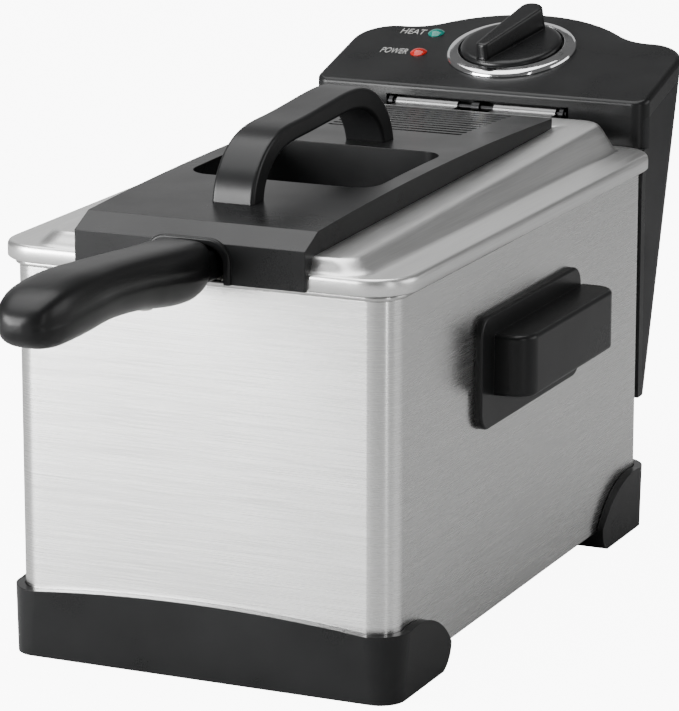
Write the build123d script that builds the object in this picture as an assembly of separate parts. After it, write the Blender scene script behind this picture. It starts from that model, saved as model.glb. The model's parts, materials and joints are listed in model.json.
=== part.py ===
from build123d import *
import math
import os

# Household deep fryer, all sizes in millimetres. While it is being built, X runs to the right, Y runs back
# from the front face of the steel body and Z runs up from the table. The last lines move the whole
# assembly so that its origin is the middle of its footprint.

# ---- steel body ----
BODY_W, BODY_D = 180.0, 305.0
BODY_BOTTOM, BODY_TOP = 11.0, 176.0
BODY_R = 11.5
SHEET = 0.8
HEM = 3.5
FLOOR_Z, FLOOR_T = 12.0, 1.0

# ---- black bases and rubber feet ----
BASE_GAP, BASE_WALL, BASE_SHELF = 0.4, 4.0, 3.0
BASE_DRAFT = 1.6
BASE_SIDE_Z, BASE_ARCH_Z = 31.0, 35.0
BASE_L = 59.0
BASE_LIFT = 0.4
FOOT_R, FOOT_INSET = 6.5, 17.0

# ---- side handles ----
PLATE_T, PLATE_L, PLATE_H, PLATE_R = 3.5, 121.0, 51.5, 9.0
HANDLE_Y, HANDLE_Z = 0.495 * BODY_D, 0.7034 * BODY_TOP
GRIP_OUT, GRIP_L, GRIP_H, GRIP_R = 17.0, 110.0, 28.0, 10.0
GRIP_BACK, GRIP_UP = 8.5, 2.2
GRIP_WALL = 3.0

# ---- oil pan ----
PAN_GAP, PAN_WALL, PAN_BOTTOM = 3.0, 1.0, 16.0
PAN_R = 14.0
BEAD, BEAD_PROUD = 2.4, 1.8
FIT_GAP = 0.3

# ---- lid ----
LID_OVER, LID_BACK_OVER = 6.0, 3.5
LID_R = 20.0
SKIRT_H, LID_REST = 7.5, 3.0
RIDGE_STEP, RIDGE_LEAN = 18.0, 5.0
LID_EDGE_R, RIDGE_EDGE_R = 2.4, 3.6
RIDGE_FRONT, RIDGE_BACK_INSET = 2.0, 4.5
PLATEAU_FRONT, PLATEAU_BACK = 16.8, 24.0
OPENING_HALF, OPENING_FRONT, OPENING_LIP = 49.5, 12.0, 5.0

# ---- black top panel of the lid ----
PANEL_HALF, PANEL_T = 54.0, 2.5
PANEL_PROUD, PANEL_SHORT = 2.0, 31.5
PANEL_BACK = BODY_D + LID_BACK_OVER - PANEL_SHORT
PANEL_EDGE_Z, PANEL_NOSE_Z = 26.5, 20.4
PANEL_CROWN_Z, PANEL_TAIL_Z = 30.4, 27.8
PANEL_CROWN_Y, PANEL_NOSE_Y = 0.5235 * PANEL_BACK, 5.0
NOTCH_HALF, NOTCH_TOP, NOTCH_RIM, NOTCH_RIM_PROUD = 17.0, 19.5, 3.0, 1.6
WELL_HALF, WELL_R = 45.5, 11.0
WELL_FRONT, WELL_BACK = 0.2906 * PANEL_BACK, 0.5903 * PANEL_BACK
WELL_FLOOR = 8.0
GLASS_T, GASKET_T, FRAME_T, GASKET_LAND = 3.8, 1.4, 1.2, 5.0
VENT_COUNT, VENT_HALF = 11, 34.0
VENT_START, VENT_PITCH = 0.7563 * PANEL_BACK, 0.022 * PANEL_BACK
VENT_W = 0.49 * VENT_PITCH

# ---- lid handle ----
ARCH_HALF = 10.0
ARCH_FRONT, ARCH_BACK, ARCH_TOP = 0.1245 * PANEL_BACK, 0.6751 * PANEL_BACK, 60.3
ARCH_T = 11.0

# ---- lid hinge ----
HINGE_DOWN, HINGE_GAP = 1.2, 4.0
BARREL_R, HINGE_PIN_R, HINGE_PLAY = 2.7, 1.5, 0.08
TONGUE_IN, TONGUE_OUT, TONGUE_T, TONGUE_LAP = 9.5, 42.0, 1.0, 12.0

# ---- control housing ----
HEAD_GAP = 1.4
HEAD_INSET = 2.5
HEAD_HALF = BODY_W / 2 - HEAD_INSET
HEAD_RISE = 31.6
HEAD_TILT = 15.4
HEAD_LEAN = 16.4
HEAD_BACK, HEAD_HUMP = 70.0, 70.0 + 0.274 * HEAD_HALF
HEAD_CORNER_R = 0.228 * HEAD_HALF
HUMP_R, HUMP_NECK_R = 0.846 * HEAD_HALF, 0.343 * HEAD_HALF
HEAD_WALL, CAP_SKIRT, CAP_TOP = 2.5, 9.0, 3.0
HEAD_BOTTOM = 62.0
HEAD_FRONT_R, CHEEK_W, LIFT_GAP = 7.0, 8.5, 0.4

# ---- dial, lamps and thermostat, on the sloping panel ----
DIAL_S = 47.2
RING_OUT_R, RING_IN_R, RING_T = 32.7, 26.5, 3.0
KNOB_R, KNOB_BASE, KNOB_DISC = 25.5, 0.8, 5.0
KNOB_NOSE_W, KNOB_TAIL_W = 7.0, 13.0
KNOB_NOSE_H, KNOB_TAIL_H = 13.5, 17.0
KNOB_TURN = 16.0
SPINDLE_R, SPINDLE_PLAY = 3.0, 0.06
THERMOSTAT_R, THERMOSTAT_DEPTH = 14.0, 30.0
LAMP_X, GREEN_S, RED_S, LAMP_R, LAMP_L = -46.0 / 87.5 * HEAD_HALF, 60.1, 36.6, 4.2, 6.0

# ---- heating element ----
TUBE_R, TUBE_BEND = 3.5, 14.0
ELEMENT_Z, ELEMENT_ENTRY = 34.0, 11.0
LEG_X, INNER_X = 52.0, 18.0
ELEMENT_FRONT, ELEMENT_SHORT, ELEMENT_REAR_GAP = 50.0, 51.5, 16.0
BRACKET_T, BRACKET_HALF, BRACKET_DROP = 1.2, 58.0, 120.0
BULB_R, BULB_L, BULB_END_GAP, CAPILLARY_R = 2.5, 75.0, 56.5, 0.8

# ---- basket ----
BASKET_SIDE_GAP, BASKET_FRONT_GAP, BASKET_BACK_GAP = 12.5, 10.5, 35.5
BASKET_SUNK, BASKET_OVER_TUBE, BASKET_LEAN = 11.0, 11.0, 4.0
BASKET_WALL, BASKET_R = 1.2, 14.0
RIM_WIRE_R, STAY_WIRE_R = 2.0, 1.5
STRAP_HALF, STRAP_T = 12.0, 2.5
GRIP_SEAM_Z = 10.0
GRIP_START, GRIP_REACH = 14.0, 159.0
NECK_HALF = 13.0

# ---- screws ----
SCREW_R, SCREW_HEAD_R, SCREW_HEAD_H = 2.0, 3.8, 2.0

parts = {}


def slab(half, y0, y1, z0, z1, r):
    """Upright block with rounded corners, centred on X."""
    plan = Pos(0, (y0 + y1) / 2, z0) * RectangleRounded(2 * half, y1 - y0, r)
    return extrude(plan, z1 - z0)


def box(x0, x1, y0, y1, z0, z1):
    centre = Pos((x0 + x1) / 2, (y0 + y1) / 2, (z0 + z1) / 2)
    return centre * Box(x1 - x0, y1 - y0, z1 - z0)


def side_prism(points, half):
    """Extrudes a closed outline of (y, z) points to both sides of the middle plane."""
    face = make_face(Plane.YZ * Polyline(*points, close=True))
    return extrude(face, half, both=True)


def across(x0, x1, y, z, r):
    """Round bar along X."""
    return Pos(x0, y, z) * Rot(0, 90, 0) * Cylinder(r, x1 - x0, align=(Align.CENTER, Align.CENTER, Align.MIN))


def upright(x, y, z0, z1, r):
    return Pos(x, y, z0) * Cylinder(r, z1 - z0, align=(Align.CENTER, Align.CENTER, Align.MIN))


def tube_along(points, r, bend):
    path = FilletPolyline(*points, radius=bend)
    return sweep(Plane(origin=path @ 0, z_dir=path % 0) * Circle(r), path=path)


def screw_up(x, y, z_head, length):
    """Screw with its head underneath, pointing up."""
    head = upright(x, y, z_head - SCREW_HEAD_H, z_head, SCREW_HEAD_R)
    return head + upright(x, y, z_head, z_head + length, SCREW_R)


# ---------------------------------------------------------------- steel body
def handle_screw_places():
    return [(HANDLE_Y + dy, HANDLE_Z) for dy in (-PLATE_L / 4, PLATE_L / 4)]


def make_outer_housing():
    half = BODY_W / 2
    shell = slab(half, 0, BODY_D, BODY_BOTTOM, BODY_TOP, BODY_R)
    shell -= slab(half - SHEET, SHEET, BODY_D - SHEET, BODY_BOTTOM, BODY_TOP - SHEET, BODY_R - SHEET)
    shell -= slab(half - HEM, HEM, BODY_D - HEM, BODY_BOTTOM, BODY_TOP, BODY_R - HEM)
    for y, z in handle_screw_places():
        shell -= across(-half - 1, half + 1, y, z, SCREW_R + 0.2)
    return shell


def base_screw_places():
    inset = BASE_L * 0.45
    return [(sx * BODY_W / 3, y) for sx in (-1, 1) for y in (inset, BODY_D - inset)]


def make_bottom_plate():
    half = BODY_W / 2 - SHEET - 0.1
    edge = SHEET + 0.1
    plate = slab(half, edge, BODY_D - edge, FLOOR_Z, FLOOR_Z + FLOOR_T, BODY_R - edge)
    for row in range(7):
        y = BODY_D / 2 + (row - 3) * 9
        plate -= slab(BODY_W / 6, y - 1.5, y + 1.5, FLOOR_Z, FLOOR_Z + FLOOR_T, 1.4)
    for x, y in base_screw_places():
        plate -= upright(x, y, FLOOR_Z - 1, FLOOR_Z + FLOOR_T + 1, SCREW_R)
    return plate


def make_base():
    """Base moulding under the front end of the body. Its sides fall away in a round ear."""
    length = BASE_L
    half, proud = BODY_W / 2, BASE_GAP + BASE_WALL
    reach = length + 2 * BODY_R
    low = Pos(0, reach / 2, BASE_LIFT) * RectangleRounded(
        2 * (half + proud - BASE_DRAFT), reach + 2 * (proud - BASE_DRAFT), BODY_R
    )
    high = Pos(0, reach / 2, BASE_ARCH_Z) * RectangleRounded(
        2 * (half + proud), reach + 2 * proud, BODY_R + proud
    )
    block = loft([low, high])
    ear = Plane.YZ * (
        Polyline((-9, BASE_LIFT), (-9, BASE_SIDE_Z), (length * 0.2, BASE_SIDE_Z))
        + ThreePointArc(
            (length * 0.2, BASE_SIDE_Z),
            (length * 0.78, BASE_SIDE_Z * 0.77),
            (length, BASE_SIDE_Z * 0.4),
        )
        + ThreePointArc(
            (length, BASE_SIDE_Z * 0.4), (length * 0.985, BASE_SIDE_Z * 0.22), (length * 0.87, BASE_LIFT)
        )
        + Line((length * 0.87, BASE_LIFT), (-9, BASE_LIFT))
    )
    sides = block & extrude(make_face(ear), half + 9, both=True)
    arch_half = half - BODY_R
    arch = Plane.XZ * (
        Polyline((-arch_half, BASE_SIDE_Z), (-arch_half, BODY_BOTTOM), (arch_half, BODY_BOTTOM))
        + Line((arch_half, BODY_BOTTOM), (arch_half, BASE_SIDE_Z))
        + ThreePointArc((arch_half, BASE_SIDE_Z), (0, BASE_ARCH_Z), (-arch_half, BASE_SIDE_Z))
    )
    front = block & extrude(make_face(arch), 9, both=True)
    base = sides + front
    base -= slab(half + BASE_GAP, -BASE_GAP, BODY_D, BODY_BOTTOM, BODY_TOP, BODY_R + BASE_GAP)
    hollow_half = half - BASE_DRAFT
    hollow_back = length * 0.87 - BASE_WALL
    base -= slab(hollow_half, BASE_DRAFT, hollow_back, 0, BODY_BOTTOM - BASE_SHELF, BODY_R - BASE_DRAFT)
    return base


def make_bases():
    front = make_base()
    rear = mirror(front, about=Plane.XZ.offset(-BODY_D / 2))
    for x, y in base_screw_places():
        hole = upright(x, y, 0, BODY_BOTTOM + 1, SCREW_R + 0.2)
        front, rear = front - hole, rear - hole
    return front, rear


def foot_places():
    return [(sx * (BODY_W / 2 - FOOT_INSET), y) for sx in (-1, 1) for y in (FOOT_INSET, BODY_D - FOOT_INSET)]


def make_rubber_feet():
    return [upright(x, y, 0, BODY_BOTTOM - BASE_SHELF, FOOT_R) for x, y in foot_places()]


def make_base_screws():
    head = BODY_BOTTOM - BASE_SHELF
    return [screw_up(x, y, head, FLOOR_Z + FLOOR_T + 2 - head) for x, y in base_screw_places()]


def make_side_handle():
    """Right-hand carrying handle: a back plate with a grip that is hollow from below."""
    wall = BODY_W / 2
    centre = Plane.YZ.offset(wall) * Pos(HANDLE_Y, HANDLE_Z)
    plate = extrude(centre * RectangleRounded(PLATE_L, PLATE_H, PLATE_R), PLATE_T)
    rim = plate.edges().filter_by(lambda e: e.center().X > wall + PLATE_T - 0.01)
    plate = fillet(rim, 1.2)
    face = wall + PLATE_T
    mid_y, mid_z = HANDLE_Y + GRIP_BACK, HANDLE_Z + GRIP_UP

    def bar(inset, z0, z1):
        depth = 2 * (GRIP_OUT - inset)
        plan = Pos(face, mid_y, z0) * RectangleRounded(depth, GRIP_L - 2 * inset, GRIP_R - inset)
        return extrude(plan, z1 - z0) & box(face, face + GRIP_OUT, 0, BODY_D, z0, z1)

    grip = bar(0, mid_z - GRIP_H / 2, mid_z + GRIP_H / 2)
    edges = grip.edges().filter_by(lambda e: e.center().X > face + 0.01 and abs(e.center().Z - mid_z) > 1)
    grip = fillet(edges, 2.0)
    grip -= bar(GRIP_WALL, mid_z - GRIP_H / 2, mid_z + GRIP_H / 2 - GRIP_WALL)
    handle = plate + grip
    for y, z in handle_screw_places():
        handle -= across(wall, wall + PLATE_T - 0.8, y, z, SCREW_R)
    return handle


def make_side_handle_screws():
    inside = BODY_W / 2 - SHEET
    screws = []
    for y, z in handle_screw_places():
        for side in (-1, 1):
            head = across(inside - SCREW_HEAD_H, inside, y, z, SCREW_HEAD_R)
            shank = across(inside, BODY_W / 2 + PLATE_T - 0.8, y, z, SCREW_R)
            screw = head + shank
            screws.append(screw if side > 0 else mirror(screw, about=Plane.YZ))
    return screws


# ---------------------------------------------------------------- oil pan
PAN_HALF = BODY_W / 2 - HEM - PAN_GAP
PAN_FRONT, PAN_BACK = HEM + PAN_GAP, BODY_D - HEM - PAN_GAP
RIM_LOW = BODY_TOP + FIT_GAP
RIM_TOP = RIM_LOW + BEAD


def make_oil_pan():
    half = BODY_W / 2
    pan = slab(PAN_HALF, PAN_FRONT, PAN_BACK, PAN_BOTTOM, RIM_LOW + PAN_WALL, PAN_R)
    rim_in = BEAD - BEAD_PROUD
    pan += slab(half - rim_in / 2, rim_in / 2, BODY_D - rim_in / 2, RIM_LOW, RIM_LOW + PAN_WALL, BODY_R)
    bead = slab(half + BEAD_PROUD, -BEAD_PROUD, BODY_D + BEAD_PROUD, RIM_LOW, RIM_TOP, BODY_R + BEAD_PROUD)
    bead = fillet(bead.edges().filter_by(lambda e: abs(e.center().Z - (RIM_LOW + RIM_TOP) / 2) > 0.5), 1.0)
    bead -= slab(half - rim_in, rim_in, BODY_D - rim_in, RIM_LOW, RIM_TOP, BODY_R - rim_in)
    pan += bead
    front, back, floor = PAN_FRONT + PAN_WALL, PAN_BACK - PAN_WALL, PAN_BOTTOM + PAN_WALL
    pan -= slab(PAN_HALF - PAN_WALL, front, back, floor, RIM_TOP, PAN_R - PAN_WALL)
    for height in (BODY_TOP * 0.42, BODY_TOP * 0.62):
        for side in (-1, 1):
            x = side * (PAN_HALF - PAN_WALL)
            mark = box(x - 0.6, x + 0.6, 140, 180, height, height + 1.6)
            pan += mark & slab(PAN_HALF, PAN_FRONT, PAN_BACK, PAN_BOTTOM, RIM_TOP, PAN_R)
    return pan


# ---------------------------------------------------------------- lid
LID_LOW = BODY_TOP + LID_REST
FLANGE_TOP = LID_LOW + SKIRT_H
LID_HALF = BODY_W / 2 + LID_OVER
LID_FRONT, LID_BACK = -LID_OVER, BODY_D + LID_BACK_OVER
RIDGE_HALF = LID_HALF - RIDGE_STEP
RIDGE_BACK = LID_BACK - RIDGE_BACK_INSET
OPENING_BACK = PANEL_BACK - OPENING_LIP


def plateau(y):
    """Height of the steel lid's raised middle, which climbs towards the hinge."""
    return BODY_TOP + PLATEAU_FRONT + (PLATEAU_BACK - PLATEAU_FRONT) * y / BODY_D


TONGUE_TOP = plateau(BODY_D - TONGUE_LAP) - SHEET - 0.05
HINGE_Y = RIDGE_BACK + HINGE_GAP + BARREL_R - 0.2
HINGE_Z = BODY_TOP + PLATEAU_BACK - HINGE_DOWN


def soften_top(solid, r):
    """Rounds the edges of a solid's upper face."""
    top = solid.faces().sort_by(Axis.Z)[-1]
    return fillet(top.edges(), r)


def lid_form(inset):
    front, back = LID_FRONT + inset, LID_BACK - inset
    flange = slab(LID_HALF - inset, front, back, LID_LOW - inset, FLANGE_TOP - inset, LID_R - inset)
    flange = soften_top(flange, LID_EDGE_R - inset)
    y0, y1 = RIDGE_FRONT + inset, RIDGE_BACK - inset
    top = plateau(BODY_D) + 2
    foot = Pos(0, (y0 + y1) / 2, LID_LOW) * RectangleRounded(2 * (RIDGE_HALF - inset), y1 - y0, 14)
    crown_half = RIDGE_HALF - RIDGE_LEAN - inset
    crown = Pos(0, (y0 + y1) / 2, top) * RectangleRounded(2 * crown_half, y1 - y0 - 2 * RIDGE_LEAN, 10)
    ridge = loft([foot, crown])
    ridge &= side_prism(
        [
            (LID_FRONT, LID_LOW - inset),
            (LID_FRONT, plateau(LID_FRONT) - inset),
            (LID_BACK, plateau(LID_BACK) - inset),
            (LID_BACK, LID_LOW - inset),
        ],
        LID_HALF,
    )
    return flange + soften_top(ridge, RIDGE_EDGE_R - inset)


def make_lid_shell():
    shell = lid_form(0) - lid_form(SHEET)
    shell -= box(-OPENING_HALF, OPENING_HALF, OPENING_FRONT, OPENING_BACK, LID_LOW, plateau(BODY_D) + 5)
    low, neck, bracket = LID_LOW - 1, NOTCH_HALF + 1, BRACKET_HALF + 6
    shell -= box(-neck, neck, LID_FRONT - 1, OPENING_FRONT + 1, low, plateau(BODY_D))
    notch_top = TONGUE_TOP + 0.05
    shell -= box(-bracket, bracket, BODY_D - TONGUE_LAP - 1, LID_BACK + 1, low, notch_top)
    return shell


def panel_top(y):
    """Height of the black panel's top along the middle plane, for placing what stands on it."""
    across_span = ((y - PANEL_CROWN_Y) / (PANEL_CROWN_Y - PANEL_NOSE_Y)) ** 2
    return BODY_TOP + PANEL_CROWN_Z - (PANEL_CROWN_Z - PANEL_EDGE_Z) * across_span


def panel_block(half, drop=0.0, front=0.0):
    """Solid under the panel's crowned top. drop lowers the top and front moves the nose back."""
    nose = LID_FRONT - PANEL_PROUD + front
    top = BODY_TOP - drop
    outline = Plane.YZ * (
        Polyline(
            (LID_FRONT - 0.1 + front, LID_LOW),
            (nose, LID_LOW),
            (nose, top + PANEL_NOSE_Z),
            (PANEL_NOSE_Y + front, top + PANEL_EDGE_Z),
        )
        + ThreePointArc(
            (PANEL_NOSE_Y + front, top + PANEL_EDGE_Z),
            (PANEL_CROWN_Y, top + PANEL_CROWN_Z),
            (PANEL_BACK - 2 - front, top + PANEL_TAIL_Z),
        )
        + Polyline(
            (PANEL_BACK - 2 - front, top + PANEL_TAIL_Z),
            (PANEL_BACK - front, top + PANEL_TAIL_Z - 2),
            (PANEL_BACK - front, plateau(PANEL_BACK) + 0.1 - front),
            (RIDGE_FRONT + 3, plateau(RIDGE_FRONT + 3) + 0.1 - front),
            (RIDGE_FRONT - 0.2, FLANGE_TOP + 0.1 - front),
            (LID_FRONT - 0.1 + front, FLANGE_TOP + 0.1 - front),
            (LID_FRONT - 0.1 + front, LID_LOW),
        )
    )
    return extrude(make_face(outline), half, both=True)


WELL_FLOOR_Z = BODY_TOP + WELL_FLOOR
PANEL_SCREWS = [(sx * 30.0, y) for sx in (-1, 1) for y in (WELL_FRONT - 7, WELL_BACK + 7)]
FILTER_Z = BODY_TOP + 14.5
FILTER_FRONT = VENT_START - 4
FILTER_BACK = VENT_START + (VENT_COUNT - 1) * VENT_PITCH + 2
FILTER_SCREWS = [(sx * 44.5, (FILTER_FRONT + FILTER_BACK) / 2) for sx in (-1, 1)]
ARCH_SCREWS = [(0.0, ARCH_FRONT + ARCH_T * 0.62), (0.0, ARCH_BACK - ARCH_T * 0.62)]


def under_panel(half, drop):
    """Everything below the panel's crowned top, down to under the lid."""
    deep = box(-half, half, OPENING_FRONT, OPENING_BACK, LID_LOW - 10, plateau(OPENING_BACK))
    return deep + panel_block(half, drop=drop)


def make_notch_rim():
    """Raised lip round the notch in the front plate, where the basket's neck comes through."""
    plate_face = Plane.XZ.offset(PANEL_PROUD - LID_FRONT)
    high = BODY_TOP + NOTCH_TOP + NOTCH_RIM

    def arch(half, top):
        outline = plate_face * Pos(0, top - 20) * RectangleRounded(2 * half, 40, half * 0.5)
        return extrude(outline, NOTCH_RIM_PROUD) & box(-half, half, -30, 0, LID_LOW, top)

    rim = arch(NOTCH_HALF + NOTCH_RIM, high)
    return fillet(rim.faces().sort_by(Axis.Y)[0].edges().filter_by(lambda e: e.center().Z > LID_LOW + 1), 1.0)


def make_lid_top_panel():
    panel = panel_block(PANEL_HALF)
    corners = panel.edges().filter_by(Axis.Z).filter_by(lambda e: e.center().Y > PANEL_BACK - 1)
    panel = fillet(corners, 5)
    top = BODY_TOP + PANEL_CROWN_Z
    inside = panel_block(PANEL_HALF - PANEL_T, drop=PANEL_T)
    inside &= box(-PANEL_HALF, PANEL_HALF, OPENING_FRONT - 4, PANEL_BACK - PANEL_T, LID_LOW, top)
    below = box(
        PANEL_T - PANEL_HALF,
        PANEL_HALF - PANEL_T,
        OPENING_FRONT - 4,
        PANEL_BACK - PANEL_T,
        LID_LOW,
        plateau(OPENING_FRONT),
    )
    panel -= inside + below
    tube = slab(WELL_HALF + 2.5, WELL_FRONT - 2.5, WELL_BACK + 2.5, WELL_FLOOR_Z, top, WELL_R + 2.5)
    for x, y in PANEL_SCREWS:
        tube += upright(x, y, WELL_FLOOR_Z - GASKET_T - GLASS_T, top, 3.4)
    for x, y in FILTER_SCREWS:
        tube += upright(x, y, FILTER_Z + FRAME_T, top, 3.4)
    panel += tube & under_panel(PANEL_HALF - PANEL_T, drop=0.2)
    panel += make_notch_rim()
    panel -= slab(WELL_HALF, WELL_FRONT, WELL_BACK, LID_LOW, top + 1, WELL_R)
    for row in range(VENT_COUNT):
        y = VENT_START + row * VENT_PITCH
        panel -= slab(VENT_HALF, y - VENT_W / 2, y + VENT_W / 2, FILTER_Z, top + 1, VENT_W / 2 - 0.05)
    notch = Plane.XZ.offset(-OPENING_FRONT) * Pos(0, BODY_TOP + NOTCH_TOP - 20)
    panel -= extrude(notch * RectangleRounded(2 * NOTCH_HALF, 40, NOTCH_HALF * 0.5), OPENING_FRONT + 20)
    for x, y in PANEL_SCREWS:
        panel -= upright(x, y, LID_LOW - 10, WELL_FLOOR_Z + 4, SCREW_R)
    for x, y in FILTER_SCREWS:
        panel -= upright(x, y, LID_LOW - 10, FILTER_Z + 8, SCREW_R)
    for x, y in ARCH_SCREWS:
        panel -= upright(x, y, LID_LOW, top + 1, SCREW_R)
    return panel


def make_lid_handle():
    """Arched strap handle: a steep front leg, a long gentle top and a steep rear leg."""
    base, top = BODY_TOP + PANEL_EDGE_Z - 3, BODY_TOP + ARCH_TOP
    f, b = ARCH_FRONT, ARCH_BACK
    outer = Spline(
        (f, base),
        (f + 4, top - 21),
        (f + 17, top - 9),
        (f + 52, top - 3),
        (f + 95, top),
        (b - 28, top - 2),
        (b - 11, top - 12),
        (b, base),
    )
    t = ARCH_T
    inner = Spline(
        (f + t + 1, base),
        (f + t + 4, top - 24),
        (f + t + 14, top - 16),
        (f + t + 40, top - 11.5),
        (f + 90, top - t + 1.5),
        (b - t - 20, top - t - 1),
        (b - t - 8, top - t - 8),
        (b - t, base),
    )
    outline = Plane.YZ * (
        outer + Line((b, base), (b - t, base)) + inner + Line((f + t + 1, base), (f, base))
    )
    arch = extrude(make_face(outline), ARCH_HALF, both=True)
    arch = fillet(arch.edges().filter_by(lambda e: e.length > 100), 1.6)
    arch -= panel_block(PANEL_HALF)
    for x, y in ARCH_SCREWS:
        arch -= upright(x, y, base - 5, panel_top(y) + 9, SCREW_R)
    return arch


def make_window_parts():
    z = WELL_FLOOR_Z
    out_half, y0, y1 = WELL_HALF + 2.4, WELL_FRONT - 2.4, WELL_BACK + 2.4
    r = WELL_R + 2.4
    land = GASKET_LAND
    hole = slab(out_half - land - 2, y0 + land + 2, y1 - land - 2, LID_LOW - 10, z + 1, r - land)
    gasket = slab(out_half, y0, y1, z - GASKET_T, z, r) - hole
    glass = slab(out_half - 0.1, y0 + 0.1, y1 - 0.1, z - GASKET_T - GLASS_T, z - GASKET_T, r)
    low = z - GASKET_T - GLASS_T
    frame = slab(out_half + 0.6, y0 - 9, y1 + 9, low - FRAME_T, low, r) - hole
    for x, y in PANEL_SCREWS:
        frame -= upright(x, y, low - 5, low + 1, SCREW_R)
    return gasket, glass, frame


def make_filter_parts():
    mesh = slab(VENT_HALF + 4, FILTER_FRONT, FILTER_BACK, FILTER_Z + FRAME_T, FILTER_Z + FRAME_T + 3, 4)
    middle = (FILTER_FRONT + FILTER_BACK) / 2
    tray = slab(VENT_HALF + 6, FILTER_FRONT - 3, FILTER_BACK + 2, FILTER_Z, FILTER_Z + FRAME_T, 5)
    tray += box(-48, 48, middle - 6, middle + 6, FILTER_Z, FILTER_Z + FRAME_T)
    tray -= slab(VENT_HALF, FILTER_FRONT + 4, FILTER_BACK - 4, FILTER_Z - 1, FILTER_Z + FRAME_T + 1, 3)
    for x, y in FILTER_SCREWS:
        tray -= upright(x, y, FILTER_Z - 1, FILTER_Z + FRAME_T + 1, SCREW_R)
    return mesh, tray


def make_lid_screws():
    low = WELL_FLOOR_Z - GASKET_T - GLASS_T - FRAME_T
    screws = [screw_up(x, y, low, 9) for x, y in PANEL_SCREWS]
    screws += [screw_up(x, y, FILTER_Z, 8) for x, y in FILTER_SCREWS]
    for x, y in ARCH_SCREWS:
        under = panel_top(y) - PANEL_T - 0.3
        screws.append(screw_up(x, y, under, 9))
    return screws


def make_hinge_tongues():
    """Two strips under the lid's rear edge, each rolled into a barrel round the hinge pin."""
    tongues = []
    for side in (-1, 1):
        x0, x1 = sorted((side * TONGUE_IN, side * TONGUE_OUT))
        tongue = box(x0, x1, BODY_D - TONGUE_LAP, HINGE_Y, TONGUE_TOP - TONGUE_T, TONGUE_TOP)
        tongue += across(x0, x1, HINGE_Y, HINGE_Z, BARREL_R)
        tongue -= across(x0 - 1, x1 + 1, HINGE_Y, HINGE_Z, HINGE_PIN_R + HINGE_PLAY)
        tongues.append(tongue)
    return tongues


# ---------------------------------------------------------------- control housing
HEAD_Y = LID_BACK + HEAD_GAP
HEAD_Z = BODY_TOP + HEAD_RISE
TILT, LEAN = math.radians(HEAD_TILT), math.radians(HEAD_LEAN)
DOWN = Vector(0, -math.sin(LEAN), -math.cos(LEAN))
FASCIA = Plane(origin=(0, HEAD_Y, HEAD_Z), x_dir=(1, 0, 0), z_dir=(0, -math.sin(TILT), math.cos(TILT)))


def on_fascia(x, s, h=0.0):
    """Place on the sloping panel: s runs up the slope from its front edge, h out of it."""
    return FASCIA.location * Pos(x, s, h)


def rear_wall_y(z):
    top_y = HEAD_Y + HEAD_BACK * math.cos(TILT)
    top_z = HEAD_Z + HEAD_BACK * math.sin(TILT)
    return top_y - (top_z - z) * math.tan(LEAN)


def on_rear_wall(x, z):
    """Plane on the outside of the sloping rear wall, facing out of it."""
    return Plane(origin=(x, rear_wall_y(z), z), x_dir=(1, 0, 0), z_dir=(0, math.cos(LEAN), -math.sin(LEAN)))


def fascia_outline(inset):
    """Seen square on: straight front, rounded rear corners and a hump behind the dial."""
    w, back, r = HEAD_HALF - inset, HEAD_BACK - inset, HEAD_CORNER_R - inset
    big, small = HUMP_R - inset, HUMP_NECK_R + inset
    bend = math.acos((HEAD_BACK - HEAD_HUMP + HUMP_R + HUMP_NECK_R) / (HUMP_R + HUMP_NECK_R))
    middle_s = HEAD_HUMP - HUMP_R
    neck_x = (big + small) * math.sin(bend)
    front = -80.0

    def on_hump(angle):
        return (big * math.sin(angle), middle_s + big * math.cos(angle))

    def on_neck(angle, side):
        x = neck_x - small * math.sin(angle)
        return (side * x, back + small * (1 - math.cos(angle)))

    def corner(angle, side):
        return (side * (w - r + r * math.cos(angle)), back - r + r * math.sin(angle))

    lines = Polyline(corner(0, -1), (-w, front), (w, front), corner(0, 1))
    for side in (-1, 1):
        lines += ThreePointArc(corner(0, side), corner(math.pi / 4, side), corner(math.pi / 2, side))
        lines += Line(corner(math.pi / 2, side), on_neck(0, side))
        lines += ThreePointArc(on_neck(0, side), on_neck(bend / 2, side), on_neck(bend, side))
    lines += ThreePointArc(on_hump(-bend), on_hump(0), on_hump(bend))
    return FASCIA * make_face(lines)


def oblique_block(inset, top, length):
    """The outline carried down along the slope of the rear wall, starting top below the panel."""
    face = Pos(*(DOWN * (top / math.cos(TILT + LEAN)))) * fascia_outline(inset)
    return extrude(face, length, dir=tuple(DOWN))


def head_side(inset):
    """Side outline of the hollow housing: upright front, leaning back and undercut hump."""
    wall = HEAD_Y + inset
    thick = inset * math.cos(TILT + LEAN) / math.cos(LEAN)
    z_hump = BODY_TOP - 26
    return side_prism(
        [
            (wall, HEAD_Z + 60),
            (wall, HEAD_BOTTOM + inset),
            (rear_wall_y(HEAD_BOTTOM + inset) - thick, HEAD_BOTTOM + inset),
            (rear_wall_y(z_hump) - thick, z_hump),
            (rear_wall_y(z_hump) + 36 - thick, z_hump + 36),
            (HEAD_Y + HEAD_HUMP + 30, BODY_TOP + 60),
        ],
        HEAD_HALF + 1,
    )


def front_corner(side, inset):
    """What the rounded upright corner leaves out at one end of the front wall."""
    r = HEAD_FRONT_R - inset
    x, y = side * (HEAD_HALF - inset), HEAD_Y + inset
    x0, x1 = sorted((x - side * r, x + side))
    block = box(x0, x1, y - 1, y + r, BODY_TOP + 9, HEAD_Z + 60)
    return block - upright(x - side * r, y + r, BODY_TOP, HEAD_Z + 61, r)


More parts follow.
